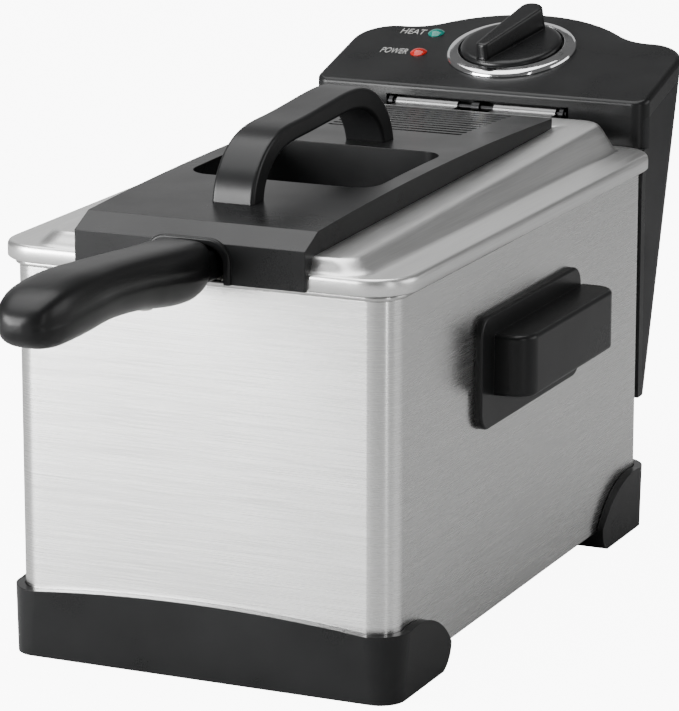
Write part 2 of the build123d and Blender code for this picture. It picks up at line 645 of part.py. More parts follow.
def cheek(side):
    """Solid lip at each front edge which closes the gap to the back of the body."""
    x0, x1 = sorted((side * (HEAD_HALF - CHEEK_W), side * HEAD_HALF))
    near = BODY_D + BEAD_PROUD + LIFT_GAP
    profile = side_prism(
        [
            (HEAD_Y + 0.5, BODY_TOP + 9),
            (HEAD_Y, BODY_TOP + 9),
            (near, BODY_TOP - 9),
            (near, HEAD_BOTTOM),
            (HEAD_Y + 0.5, HEAD_BOTTOM),
        ],
        HEAD_HALF,
    )
    return profile & box(x0, x1, BODY_D, HEAD_Y + 2, HEAD_BOTTOM, HEAD_Z)


def head_seam():
    """Everything that belongs to the front moulding: the sloping cap and the front wall."""
    front = box(-HEAD_HALF - 2, HEAD_HALF + 2, BODY_D, HEAD_Y + HEAD_WALL, HEAD_BOTTOM - 1, HEAD_Z + 60)
    cap = extrude(FASCIA * Pos(0, 0, -CAP_SKIRT) * Rectangle(300, 400), CAP_SKIRT + 60)
    return front + cap


HINGE_OPEN_HALF = TONGUE_OUT + 6
HINGE_PLATE_Y = HINGE_Y + 6
SLOT_Z = RIM_TOP + 1.2
ENTRY_Z = BODY_TOP + ELEMENT_ENTRY
RAIL_X, RAIL_HALF, RAIL_T, RAIL_PLAY = HEAD_HALF - 27.5, 7.0, 3.4, 0.5
RAIL_TOP, RAIL_BOTTOM = BODY_TOP - 20, HEAD_BOTTOM + 15
PLUNGER_R, PLUNGER_Y = 2.0, HEAD_Y + HEAD_WALL + 5
SWITCH_LOW = HEAD_BOTTOM + HEAD_WALL + 0.1
TAB_Z = HEAD_BOTTOM - 3
RESET_X, RESET_Z, RESET_R, RESET_PROUD = 45.0, BODY_TOP - 46.0, 3.5, 2.4
INLET_X, INLET_Z = -42.0, HEAD_BOTTOM + 30.0
INLET_HALF, INLET_H = 14.0, 20.0
COVER_SCREWS = [(sx * (HEAD_HALF - 14.5), z) for sx in (-1, 1) for z in (HEAD_BOTTOM + 8, BODY_TOP - 26)]


def make_head_shells():
    outer = oblique_block(0, 0, 260) & head_side(0)
    inner = oblique_block(HEAD_WALL, CAP_TOP, 260) & head_side(HEAD_WALL)
    for side in (-1, 1):
        outer -= front_corner(side, 0)
        inner -= front_corner(side, HEAD_WALL)
    shell = outer - inner + cheek(-1) + cheek(1)
    seam = head_seam()
    fascia, housing = shell & seam, shell - seam
    ridge = fascia.edges().filter_by(lambda e: abs(FASCIA.to_local_coords(e.center()).Z) < 0.01)
    fascia = fillet(ridge, 2.4)
    rib_y = BODY_D + BEAD_PROUD + LIFT_GAP
    for x in (-RAIL_X, RAIL_X):
        for dx in (-RAIL_HALF - RAIL_PLAY - 1.5, RAIL_HALF + RAIL_PLAY):
            fascia += box(x + dx, x + dx + 1.5, rib_y, HEAD_Y, RAIL_BOTTOM, RAIL_TOP)
    wall_in, slot_top = HEAD_Y + HEAD_WALL, SLOT_Z + BRACKET_T
    opening_top = HINGE_Z + BARREL_R + 0.9
    fascia -= box(-HINGE_OPEN_HALF, HINGE_OPEN_HALF, HEAD_Y - 1, wall_in, BODY_TOP + 7.5, opening_top)
    fascia -= box(-BRACKET_HALF, BRACKET_HALF, HEAD_Y - 1, wall_in + 1, SLOT_Z, slot_top)
    for x in (-LEG_X, LEG_X):
        leg = Pos(x, HEAD_Y, ENTRY_Z) * Rot(90, 0, 0) * Cylinder(TUBE_R + 0.3, 20)
        fascia -= leg
    fascia -= on_fascia(0, DIAL_S, 0) * Cylinder(SPINDLE_R + 1.0, 20)
    for s in (GREEN_S, RED_S):
        fascia -= on_fascia(LAMP_X, s, 0) * Cylinder(LAMP_R, 20)
    housing -= upright(0, PLUNGER_Y, HEAD_BOTTOM - 1, HEAD_BOTTOM + HEAD_WALL + 1, PLUNGER_R + 0.4)
    housing -= on_rear_wall(RESET_X, RESET_Z).location * Cylinder(RESET_R + 0.4, 12)
    housing -= on_rear_wall(INLET_X, INLET_Z).location * Box(2 * INLET_HALF, INLET_H, 12)
    for x, z in COVER_SCREWS:
        housing -= on_rear_wall(x, z).location * Cylinder(SCREW_R, 12)
    return fascia, housing


def make_control_screws():
    screws = []
    for x, z in COVER_SCREWS:
        place = on_rear_wall(x, z).location
        head = place * Pos(0, 0, SCREW_HEAD_H / 2) * Cylinder(SCREW_HEAD_R, SCREW_HEAD_H)
        screws.append(head + place * Pos(0, 0, -4) * Cylinder(SCREW_R, 8))
    return screws


def make_hinge_bracket():
    """Steel plate behind the opening, with three lugs which hold the hinge pin."""
    half = HINGE_OPEN_HALF + 6
    under_cap = HEAD_Z + (HINGE_PLATE_Y - HEAD_Y) * math.tan(TILT) - CAP_TOP / math.cos(TILT)
    plate = box(-half, half, HINGE_PLATE_Y, HINGE_PLATE_Y + 1.5, SLOT_Z + 3, under_cap - 0.05)
    for x0, x1 in ((-TONGUE_OUT - 4, -TONGUE_OUT - 2), (-2, 2), (TONGUE_OUT + 2, TONGUE_OUT + 4)):
        plate += box(x0, x1, HINGE_Y, HINGE_PLATE_Y, HINGE_Z - 3, HINGE_Z + 3)
        plate += across(x0, x1, HINGE_Y, HINGE_Z, 3)
    plate -= across(-half, half, HINGE_Y, HINGE_Z, HINGE_PIN_R)
    for x in (-LEG_X, LEG_X):
        plate -= Pos(x, HINGE_PLATE_Y, ENTRY_Z) * Rot(90, 0, 0) * Cylinder(TUBE_R + 0.3, 20)
    plate -= Pos(0, HINGE_PLATE_Y, ENTRY_Z) * Rot(90, 0, 0) * Cylinder(CAPILLARY_R + 0.4, 20)
    return plate.solids().sort_by(SortBy.VOLUME)[-1]


def make_hinge_pin():
    return across(-TONGUE_OUT - 5, TONGUE_OUT + 5, HINGE_Y, HINGE_Z, HINGE_PIN_R)


def make_guide_rails():
    rails = []
    for x in (-RAIL_X, RAIL_X):
        rails.append(box(x - RAIL_HALF, x + RAIL_HALF, BODY_D, BODY_D + RAIL_T, RAIL_BOTTOM, RAIL_TOP))
    return rails


def make_interlock_tab():
    """Shelf on the back of the body that presses the safety switch when the head is seated."""
    tab = box(-9, 9, BODY_D, BODY_D + 1.2, TAB_Z - 14, TAB_Z)
    return tab + box(-9, 9, BODY_D, PLUNGER_Y + 5, TAB_Z - 1.2, TAB_Z)


def make_switch_parts():
    body = box(-13, 13, PLUNGER_Y - 4, PLUNGER_Y + 4, SWITCH_LOW, SWITCH_LOW + 17)
    body -= upright(0, PLUNGER_Y, SWITCH_LOW - 1, SWITCH_LOW + 9, PLUNGER_R + 0.1)
    plunger = upright(0, PLUNGER_Y, TAB_Z + FIT_GAP, SWITCH_LOW + 6, PLUNGER_R)
    return body, plunger


def make_reset_parts():
    place = on_rear_wall(RESET_X, RESET_Z).location
    low = (Align.CENTER, Align.CENTER, Align.MIN)
    button = place * Pos(0, 0, -13) * Cylinder(RESET_R, 13 + RESET_PROUD, align=low)
    body = place * Pos(0, 0, -20) * Cylinder(9, 20 - HEAD_WALL, align=low)
    body -= place * Pos(0, 0, -16) * Cylinder(RESET_R + 0.1, 16, align=low)
    return body, button


def make_inlet_parts():
    """Flat appliance inlet: a moulded frame with three pins, set in the rear wall."""
    place = on_rear_wall(INLET_X, INLET_Z).location
    block = place * Pos(0, 0, -6) * Box(2 * INLET_HALF, INLET_H, 12)
    flange = place * Pos(0, 0, 1) * Box(2 * INLET_HALF + 10, INLET_H + 5, 2)
    frame = block + flange
    frame -= place * Pos(0, 0, -3) * Box(2 * INLET_HALF - 5, INLET_H - 5, 12)
    pins = []
    for x, y in ((-7, 2), (7, 2), (0, -3)):
        pins.append(place * Pos(x, y, -5.5) * Box(4, 2, 7))
    return frame, pins


# ---------------------------------------------------------------- dial and lamps
def make_dial_ring():
    ring = on_fascia(0, DIAL_S) * Cylinder(RING_OUT_R, RING_T, align=(Align.CENTER, Align.CENTER, Align.MIN))
    top = ring.edges().filter_by(lambda e: FASCIA.to_local_coords(e.center()).Z > RING_T - 0.01)
    ring = chamfer(top, RING_T * 0.75, RING_T * 0.9)
    return ring - on_fascia(0, DIAL_S) * Cylinder(RING_IN_R, 3 * RING_T)


def knob_place(h=0.0):
    return on_fascia(0, DIAL_S, h) * Rot(0, 0, -KNOB_TURN)


def make_temperature_knob():
    low = (Align.CENTER, Align.CENTER, Align.MIN)
    disc = Pos(0, 0, KNOB_BASE) * Cylinder(KNOB_R, KNOB_DISC - KNOB_BASE, align=low)
    disc = fillet(disc.edges().group_by(Axis.Z)[-1], 1.5)
    nose, tail = -KNOB_R + 0.8, KNOB_R - 3.5
    plan = make_face(
        Polyline(
            (-KNOB_NOSE_W / 2, nose),
            (KNOB_NOSE_W / 2, nose),
            (KNOB_TAIL_W / 2, tail),
            (-KNOB_TAIL_W / 2, tail),
            close=True,
        )
    )
    bar = extrude(Pos(0, 0, KNOB_BASE) * plan, 30)
    side = [(nose - 1, KNOB_BASE), (nose - 1, KNOB_NOSE_H), (tail, KNOB_TAIL_H), (tail, KNOB_BASE)]
    bar &= side_prism(side, KNOB_TAIL_W)
    bar = fillet(bar.edges().filter_by(lambda e: e.center().Z > KNOB_DISC), 1.0)
    knob = disc + bar - Cylinder(SPINDLE_R, 2 * (KNOB_NOSE_H - 3))
    return knob_place() * knob


def make_knob_spindle():
    length = THERMOSTAT_DEPTH * 0.6 + KNOB_NOSE_H - 3
    place = on_fascia(0, DIAL_S, -THERMOSTAT_DEPTH * 0.6)
    return place * Cylinder(SPINDLE_R, length, align=(Align.CENTER, Align.CENTER, Align.MIN))


def make_thermostat():
    low = (Align.CENTER, Align.CENTER, Align.MIN)
    length = THERMOSTAT_DEPTH - CAP_TOP - 2
    body = on_fascia(0, DIAL_S, -THERMOSTAT_DEPTH) * Cylinder(THERMOSTAT_R, length, align=low)
    body += on_fascia(0, DIAL_S, -CAP_TOP - 2) * Cylinder(SPINDLE_R + 3, 2, align=low)
    bore = on_fascia(0, DIAL_S, -THERMOSTAT_DEPTH * 0.6 - 1)
    return body - bore * Cylinder(SPINDLE_R + SPINDLE_PLAY, THERMOSTAT_DEPTH, align=low)


def make_lens(s):
    low = (Align.CENTER, Align.CENTER, Align.MIN)
    lens = on_fascia(LAMP_X, s, -CAP_TOP - 1) * Cylinder(LAMP_R, CAP_TOP + 1.4, align=low)
    dome_r = LAMP_R * 1.5
    dome = on_fascia(LAMP_X, s, 0.4 + 1.6 - dome_r) * Sphere(dome_r)
    cap = on_fascia(LAMP_X, s, 0.4) * Cylinder(LAMP_R, 2, align=low)
    return lens + (dome & cap)


def make_indicator_lamps():
    low = (Align.CENTER, Align.CENTER, Align.MIN)
    bottom = -CAP_TOP - 1.5 - LAMP_L
    return [on_fascia(LAMP_X, s, bottom) * Cylinder(3, LAMP_L, align=low) for s in (GREEN_S, RED_S)]


def make_terminal_block():
    y = HEAD_Y + HEAD_WALL + 0.1
    top = BODY_TOP - 14
    block = box(20, 60, y, y + 14, top - 12, top)
    for x in (26, 37, 48):
        block -= box(x, x + 6, y + 5, y + 15, top - 6, top + 1)
    return block


# ---------------------------------------------------------------- heating element
ELEMENT_REAR = PAN_BACK - PAN_WALL - ELEMENT_REAR_GAP
ELEMENT_TURN = ELEMENT_REAR - ELEMENT_SHORT


def make_heating_element():
    z, start = ELEMENT_Z, HEAD_Y + 14
    half = [(LEG_X, start, ENTRY_Z), (LEG_X, ELEMENT_REAR, ENTRY_Z), (LEG_X, ELEMENT_REAR, z)]
    half += [(LEG_X, ELEMENT_FRONT, z), (INNER_X, ELEMENT_FRONT, z), (INNER_X, ELEMENT_TURN, z)]
    route = half + [(-x, y, h) for x, y, h in reversed(half)]
    element = tube_along(route, TUBE_R, TUBE_BEND)
    for x in (-LEG_X, LEG_X):
        element += Pos(x, start + 4, ENTRY_Z) * Rot(90, 0, 0) * Cylinder(1.5, 10)
    return element


def make_element_bracket():
    y = ELEMENT_REAR + TUBE_BEND - 9.5 + TUBE_R
    plate = box(-BRACKET_HALF, BRACKET_HALF, y, y + BRACKET_T, RIM_TOP - BRACKET_DROP, SLOT_Z + BRACKET_T)
    return plate + box(-BRACKET_HALF, BRACKET_HALF, y, HEAD_Y + HEAD_WALL + 1, SLOT_Z, SLOT_Z + BRACKET_T)


def make_sensor_parts():
    z = ELEMENT_Z + TUBE_R + 0.5 + BULB_R
    end = ELEMENT_REAR - BULB_END_GAP
    middle = end - BULB_L / 2
    bulb = Pos(0, middle, z) * Rot(90, 0, 0) * Cylinder(BULB_R, BULB_L)
    rear = ELEMENT_REAR - 2
    stop = HEAD_Y + (DIAL_S - THERMOSTAT_R) * math.cos(TILT) + 2
    route = [(0, end, z), (0, rear, z), (0, rear, ENTRY_Z), (0, stop, ENTRY_Z)]
    capillary = tube_along(route, CAPILLARY_R, 8)
    top = ELEMENT_Z + TUBE_R
    clip = box(-INNER_X - 3, INNER_X + 3, middle - 5, middle + 5, top, top + 0.5)
    ring = Pos(0, middle, z) * Rot(90, 0, 0) * Cylinder(BULB_R + 0.6, 10)
    clip += ring & box(-9, 9, 0, BODY_D, top, z + 9)
    clip -= Pos(0, middle, z) * Rot(90, 0, 0) * Cylinder(BULB_R, 20)
    return bulb, capillary, clip


# ---------------------------------------------------------------- basket
BASKET_HALF = PAN_HALF - PAN_WALL - BASKET_SIDE_GAP
BASKET_FRONT, BASKET_BACK = PAN_FRONT + PAN_WALL + BASKET_FRONT_GAP, PAN_BACK - PAN_WALL - BASKET_BACK_GAP
BASKET_TOP = BODY_TOP - BASKET_SUNK
BASKET_BOTTOM = ELEMENT_Z + TUBE_R + BASKET_OVER_TUBE


def basket_form(inset, z0, z1):
    def ring(z):
        lean = BASKET_LEAN * (BASKET_TOP - z) / (BASKET_TOP - BASKET_BOTTOM)
        depth = BASKET_BACK - BASKET_FRONT - 2 * (inset + lean)
        plan = RectangleRounded(2 * (BASKET_HALF - inset - lean), depth, BASKET_R - inset)
        return Pos(0, (BASKET_FRONT + BASKET_BACK) / 2, z) * plan

    return loft([ring(z0), ring(z1)])


def make_basket_mesh():
    outer = basket_form(0, BASKET_BOTTOM, BASKET_TOP)
    return outer - basket_form(BASKET_WALL, BASKET_BOTTOM + BASKET_WALL, BASKET_TOP + 1)


def make_basket_frame():
    """Rim wire round the top and two stay wires which pass under the bottom."""
    reach = RIM_WIRE_R + 0.05
    width = 2 * (BASKET_HALF + reach)
    depth = BASKET_BACK - BASKET_FRONT + 2 * reach
    middle = (BASKET_FRONT + BASKET_BACK) / 2
    plan = Pos(0, middle, BASKET_TOP) * RectangleRounded(width, depth, BASKET_R + reach)
    path = plan.wire()
    start = path @ 0
    frame = sweep(Plane(origin=start, z_dir=path % 0) * Circle(RIM_WIRE_R), path=path)
    stand = STAY_WIRE_R + 0.3
    low_x = BASKET_HALF - BASKET_LEAN + stand
    for y in (middle - BODY_D / 5, middle + BODY_D / 5):
        route = [
            (-BASKET_HALF - stand - 0.1, y, BASKET_TOP - 1),
            (-low_x, y, BASKET_BOTTOM - stand),
            (low_x, y, BASKET_BOTTOM - stand),
            (BASKET_HALF + stand + 0.1, y, BASKET_TOP - 1),
        ]
        frame += tube_along(route, STAY_WIRE_R, 1.4 * STAY_WIRE_R)
    return frame


STRAP_BACK = BASKET_FRONT - 2 * RIM_WIRE_R - 0.2
STRAP_Z = BODY_TOP + 9.0


def strap_outline(grow=0.0):
    """Side view of the strap: up the front of the basket, over the pan rim and out into the grip."""
    y1, y0 = STRAP_BACK, STRAP_BACK - STRAP_T
    z0, z1 = STRAP_Z, STRAP_Z + STRAP_T
    bottom = BASKET_TOP * 0.62
    return [
        (y1, bottom),
        (y1, z1 - 4),
        (y1 - 4, z1 + grow),
        (-GRIP_START - 46, z1 + grow),
        (-GRIP_START - 46, z0 - grow),
        (y0 - 4, z0 - grow),
        (y0, z0 - 4),
        (y0, bottom + 4),
        (y0 - 1.2, bottom + 4),
        (y0 - 1.2, bottom),
    ]


def make_basket_bracket():
    return side_prism(strap_outline(), STRAP_HALF)


def make_basket_grips():
    """Two half shells of a hand grip: waisted in the middle and full at its rounded end."""
    mid = BODY_TOP
    reach = GRIP_REACH - GRIP_START
    stations = [
        (0.0, 12.0, 10.0, 13.0),
        (0.07, 11.0, 12.5, 14.0),
        (0.18, 11.0, 13.2, 14.0),
        (0.37, 15.2, 12.2, 12.6),
        (0.53, 17.2, 11.9, 12.8),
        (0.70, 17.6, 13.0, 14.2),
        (0.85, 17.0, 12.6, 14.8),
        (0.94, 16.2, 10.4, 12.6),
        (0.985, 15.8, 6.4, 8.2),
        (1.0, 15.6, 2.4, 3.4),
    ]
    sections = []
    for share, height, half_h, half_w in stations:
        y = -GRIP_START - share * reach
        plane = Plane(origin=(0, y, mid + height), x_dir=(1, 0, 0), z_dir=(0, -1, 0))
        sections.append(plane * RectangleRounded(2 * half_w, 2 * half_h, min(half_h, half_w) * 0.72))
    grip = loft(sections)
    neck_top = BODY_TOP + NOTCH_TOP - 2
    grip += box(-NECK_HALF, NECK_HALF, -GRIP_START - 4, 2, RIM_TOP + 1.5, neck_top)
    strap = side_prism(strap_outline(0.05), STRAP_HALF + 0.05)
    grip -= strap
    seam = mid + GRIP_SEAM_Z
    for y in (-GRIP_START - 22, -GRIP_START - 36):
        grip -= upright(0, y, mid - 20, seam + 6, SCREW_R)
        grip -= upright(0, y, mid - 20, seam - 8, SCREW_HEAD_R)
    wide = 40
    upper = grip & box(-wide, wide, -GRIP_REACH - 9, 9, seam, mid + 60)
    lower = grip & box(-wide, wide, -GRIP_REACH - 9, 9, mid - 40, seam)
    return upper, lower


def make_grip_screws():
    seam = BODY_TOP + GRIP_SEAM_Z
    strap_low = STRAP_Z - 0.05
    screws = []
    for y in (-GRIP_START - 22, -GRIP_START - 36):
        screws.append(screw_up(0, y, seam - 8, strap_low - seam + 8))
    return screws


def build_all():
    parts["outer_housing"] = make_outer_housing()
    parts["bottom_plate"] = make_bottom_plate()
    parts["front_base"], parts["rear_base"] = make_bases()
    parts["rubber_feet"] = make_rubber_feet()
    parts["base_screws"] = make_base_screws()
    parts["side_handle_right"] = make_side_handle()
    parts["side_handle_left"] = mirror(parts["side_handle_right"], about=Plane.YZ)
    parts["side_handle_screws"] = make_side_handle_screws()
    parts["guide_rails"] = make_guide_rails()
    parts["interlock_tab"] = make_interlock_tab()
    parts["oil_pan"] = make_oil_pan()
    parts["lid_shell"] = make_lid_shell()
    parts["lid_top_panel"] = make_lid_top_panel()
    parts["lid_handle"] = make_lid_handle()
    parts["window_gasket"], parts["viewing_window"], parts["window_frame"] = make_window_parts()
    parts["filter_mesh"], parts["filter_retainer"] = make_filter_parts()
    parts["lid_screws"] = make_lid_screws()
    parts["hinge_tongues"] = make_hinge_tongues()
    parts["control_fascia"], parts["control_housing"] = make_head_shells()
    parts["control_screws"] = make_control_screws()
    parts["hinge_bracket"] = make_hinge_bracket()
    parts["hinge_pin"] = make_hinge_pin()
    parts["micro_switch"], parts["interlock_plunger"] = make_switch_parts()
    parts["overheat_cutout"], parts["reset_button"] = make_reset_parts()
    parts["power_inlet"], parts["inlet_pins"] = make_inlet_parts()
    parts["dial_ring"] = make_dial_ring()
    parts["temperature_knob"] = make_temperature_knob()
    parts["knob_spindle"] = make_knob_spindle()
    parts["thermostat"] = make_thermostat()
    parts["heat_lamp_lens"] = make_lens(GREEN_S)
    parts["power_lamp_lens"] = make_lens(RED_S)
    parts["indicator_lamps"] = make_indicator_lamps()
    parts["terminal_block"] = make_terminal_block()
    parts["heating_element"] = make_heating_element()
    parts["element_bracket"] = make_element_bracket()
    parts["sensor_bulb"], parts["capillary_tube"], parts["bulb_clip"] = make_sensor_parts()
    parts["basket_mesh"] = make_basket_mesh()
    parts["basket_frame"] = make_basket_frame()
    parts["basket_bracket"] = make_basket_bracket()
    parts["basket_grip_upper"], parts["basket_grip_lower"] = make_basket_grips()
    parts["grip_screws"] = make_grip_screws()


def solids_of(part):
    pieces = part if isinstance(part, list) else [part]
    return [solid for piece in pieces for solid in piece.solids()]


build_all()
everything = Compound([solid for part in parts.values() for solid in solids_of(part)])
extent = everything.bounding_box()
to_origin = Pos(0, -(extent.min.Y + extent.max.Y) / 2, 0)
os.makedirs("parts", exist_ok=True)
for name, part in parts.items():
    solids = [to_origin * solid for solid in solids_of(part)]
    export_step(solids[0] if len(solids) == 1 else Compound(solids), f"parts/{name}.step")
print("size", extent.size, "origin shift in Y", round(to_origin.position.Y, 3))
print("hinge axis", round(HINGE_Y + to_origin.position.Y, 3), round(HINGE_Z, 3))
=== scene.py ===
# %% [markdown]
# # A countertop deep fryer
#
# The working model arrives finished: every plate, hinge and screw has its true size and place. What is
# left is the part a workshop would call finishing. We press the lid out of sheet, weave the basket, mould
# the grip, print the dial, and give every surface its own material. Sizes are in metres.

# %% Load the working model
import json
import math

import bmesh
import bpy
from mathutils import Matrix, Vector


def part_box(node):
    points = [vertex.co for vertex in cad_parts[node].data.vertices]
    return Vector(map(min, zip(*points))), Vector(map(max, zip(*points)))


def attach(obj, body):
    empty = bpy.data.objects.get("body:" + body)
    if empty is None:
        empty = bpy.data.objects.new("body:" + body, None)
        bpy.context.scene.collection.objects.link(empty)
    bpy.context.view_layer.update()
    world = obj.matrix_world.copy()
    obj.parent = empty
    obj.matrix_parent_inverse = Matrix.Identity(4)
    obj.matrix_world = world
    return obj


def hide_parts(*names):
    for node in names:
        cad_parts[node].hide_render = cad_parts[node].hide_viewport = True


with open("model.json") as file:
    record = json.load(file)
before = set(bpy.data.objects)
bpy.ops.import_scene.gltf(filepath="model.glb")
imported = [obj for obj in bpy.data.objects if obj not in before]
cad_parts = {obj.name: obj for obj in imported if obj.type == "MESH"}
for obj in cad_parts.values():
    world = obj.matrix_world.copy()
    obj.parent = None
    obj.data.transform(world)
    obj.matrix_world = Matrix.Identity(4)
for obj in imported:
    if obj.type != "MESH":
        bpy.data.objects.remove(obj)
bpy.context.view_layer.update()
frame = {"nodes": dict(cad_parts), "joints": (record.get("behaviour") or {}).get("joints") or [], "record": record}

nodes = frame["nodes"]
slot_of = {part["node"]: part["material_slot"] for part in frame["record"]["subparts"]}

# %% [markdown]
# ## The camera
#
# A long lens from a little above shows the front, the right side and the lid together, with hardly any
# convergence. It stands to the right of the fryer, turned back towards it.

# %% Place the camera
camera_data = bpy.data.cameras.new("camera")
camera_data.lens = 204.6
camera_data.clip_start = 0.05
camera = bpy.data.objects.new("camera", camera_data)
camera.location = (0.7393, -1.613961, 0.56313)
camera.rotation_euler = (math.radians(75.9), 0.0, math.radians(24.26))
bpy.context.scene.collection.objects.link(camera)
bpy.context.scene.camera = camera
print("camera stands", round(camera.location.length, 2), "m away")

# %% [markdown]
# ## Helpers for making mesh
#
# Most pieces here are skins: rings of points joined by quads. One helper joins the rings, and another turns
# points and faces into an object that rides on a body of the fryer.


# %% Helpers for skins and objects
def add_piece(name, verts, faces, body, slot, smooth=True):
    """A new mesh object that rides on a body. Its slot argument is not used."""
    mesh = bpy.data.meshes.new(name)
    mesh.from_pydata([tuple(v) for v in verts], [], faces)
    work = bmesh.new()
    work.from_mesh(mesh)
    bmesh.ops.remove_doubles(work, verts=work.verts, dist=1e-7)
    bmesh.ops.recalc_face_normals(work, faces=work.faces)
    work.to_mesh(mesh)
    work.free()
    mesh.polygons.foreach_set("use_smooth", [smooth] * len(mesh.polygons))
    piece = bpy.data.objects.new(name, mesh)
    bpy.context.scene.collection.objects.link(piece)
    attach(piece, body)
    return piece


def skin(rings, cap=False):
    """Quads between closed rings of equal length, with both ends closed if cap is true."""
    count = len(rings[0])
    verts = [p for ring in rings for p in ring]
    faces = []
    for row in range(len(rings) - 1):
        a, b = row * count, (row + 1) * count
        for i in range(count):
            j = (i + 1) % count
            faces.append((a + i, a + j, b + j, b + i))
    if cap:
        faces.append(tuple(range(count)))
        faces.append(tuple(range(len(verts) - count, len(verts))))
    return verts, faces


def apply_modifiers(piece):
    """Keeps the shape that the modifiers make, and drops the modifiers."""
    bpy.context.view_layer.update()
    graph = bpy.context.evaluated_depsgraph_get()
    shaped = bpy.data.meshes.new_from_object(piece.evaluated_get(graph))
    shaped.name = piece.name
    piece.modifiers.clear()
    piece.data = shaped
    return piece


# %% [markdown]
# ## The lid, pressed from one sheet
#
# A pressed lid has no sharp corner anywhere, because the tool stretches the sheet over soft shoulders. Its
# skirt hangs over the pan, a flat flange runs round, and a ridge rises in the middle with S-shaped sides and
# climbs towards the hinge.
#
# Rings, one inside the other, describe such a sheet well. Each ring is a rounded rectangle, and the list
# says how wide it is and how high it lies. The sheet's thickness comes last, from a modifier, just as the
# thickness of real sheet never changes the drawing of its outside.

# %% Sizes of the lid
shell_low, shell_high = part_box("lid_shell")
panel_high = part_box("lid_top_panel")[1]
LID_HALF = shell_high.x
LID_FRONT, LID_BACK = shell_low.y, shell_high.y
SKIRT_LOW = shell_low.z
FLANGE_Z = SKIRT_LOW + 0.0075
RIDGE_BACK_Z = shell_high.z
RIDGE_FRONT_Z = RIDGE_BACK_Z - 0.0071
LID_CORNER = 0.020
OPENING_HALF = 0.0485
OPENING_FRONT, OPENING_BACK = LID_FRONT + 0.0185, panel_high.y - 0.0055
NECK_CUT, BRACKET_CUT, BRACKET_CUT_TOP = 0.018, 0.061, RIDGE_BACK_Z - 0.0014
SHEET = 0.0008


def ridge_z(y):
    """Height of the raised middle at a place along the lid."""
    share = (y - LID_FRONT) / (LID_BACK - LID_FRONT)
    return RIDGE_FRONT_Z + (RIDGE_BACK_Z - RIDGE_FRONT_Z) * share


print("lid", round(2 * LID_HALF, 4), "wide and", round(LID_BACK - LID_FRONT, 4), "long")


# %% One ring of the lid
def cross_stops(half, cut):
    """Places across one end: an even spread up to the cut's edge, then on to the corner."""
    inner = min(cut, half * 0.8)
    stops = [inner * k / 4 for k in range(5)] + [inner + (half - inner) * k / 5 for k in range(1, 5)]
    return [-x for x in reversed(stops[1:])] + stops


def lid_ring(half, front, back, radius):
    """A rounded rectangle as (x, y) points, anticlockwise from the front left."""
    arc, along = 10, 28
    points = [(x, front) for x in cross_stops(half - radius, NECK_CUT)]
    corners = ((1, front + radius), (1, back - radius), (-1, back - radius), (-1, front + radius))
    for index, (sx, y) in enumerate(corners):
        for step in range(arc + 1):
            angle = math.radians(90) * (index - 1 + step / arc)
            points.append((sx * (half - radius) + radius * math.cos(angle), y + radius * math.sin(angle)))
        span = back - front - 2 * radius
        if index == 0:
            points += [(half, front + radius + span * k / along) for k in range(1, along)]
        if index == 1:
            points += [(x, back) for x in reversed(cross_stops(half - radius, BRACKET_CUT))]
        if index == 2:
            points += [(-half, back - radius - span * k / along) for k in range(1, along)]
    return points


print("points in a ring", len(lid_ring(LID_HALF, LID_FRONT, LID_BACK, LID_CORNER)))


# %% The profile of the pressing
def lid_profile():
    """Rows of half width, front, back and corner radius, from the hem to the opening.

    A row's last value is a height on the outer edge, and a share of the climb to the ridge inside it.
    """
    f, b, w, r = LID_FRONT, LID_BACK, LID_HALF, LID_CORNER
    rings = [(w - 0.0005, f + 0.0005, b - 0.0005, r, SKIRT_LOW)]
    rings.append((w, f, b, r, SKIRT_LOW + 0.0006))
    edge = 0.0026
    for k in range(6):
        turn = math.radians(90) * k / 5
        inset = edge * (1 - math.cos(turn))
        height = FLANGE_Z - edge + edge * math.sin(turn)
        rings.append((w - inset, f + 0.6 * inset, b - inset, r - inset, height))
    rings.append((w - 0.0045, f + 0.0018, b - 0.0045, r - 0.0045, FLANGE_Z))
    foot, shoulder, steps = 0.0808, 0.0700, 16
    for k in range(steps + 1):
        share = k / steps
        half = foot + (shoulder - foot) * share
        front = f + 0.0020 + 0.0052 * share
        back = b - 0.0052 - 0.0060 * share
        rings.append((half, front, back, 0.0125 - 0.0025 * share, share))
    rings.append((shoulder - 0.003, f + 0.0097, b - 0.0140, 0.0085, 1.0))
    rings.append((0.0600, f + 0.0130, b - 0.0220, 0.0030, 1.0))
    rings.append((OPENING_HALF, OPENING_FRONT, OPENING_BACK, 0.0010, 1.0))
    return rings


def climbed(share, y):
    """A share of the climb from the flange to the ridge, along a soft S."""
    soft = share * share * (3 - 2 * share)
    return FLANGE_Z + (ridge_z(y) - FLANGE_Z) * soft


lid_rings = []
for half, front, back, radius, level in lid_profile():
    is_edge = half > LID_HALF - 0.005
    outline = lid_ring(half, front, back, radius)
    lid_rings.append([Vector((x, y, level if is_edge else climbed(level, y))) for x, y in outline])
print("rings", len(lid_rings))


# %% Cut the notches and give the sheet its thickness
def is_cut_away(middle):
    """The basket's neck passes at the front, and the heater's bracket and the hinge at the rear."""
    at_neck = abs(middle.x) < NECK_CUT and middle.y < OPENING_FRONT
    at_bracket = abs(middle.x) < BRACKET_CUT and middle.y > OPENING_BACK and middle.z < BRACKET_CUT_TOP
    return at_neck or at_bracket


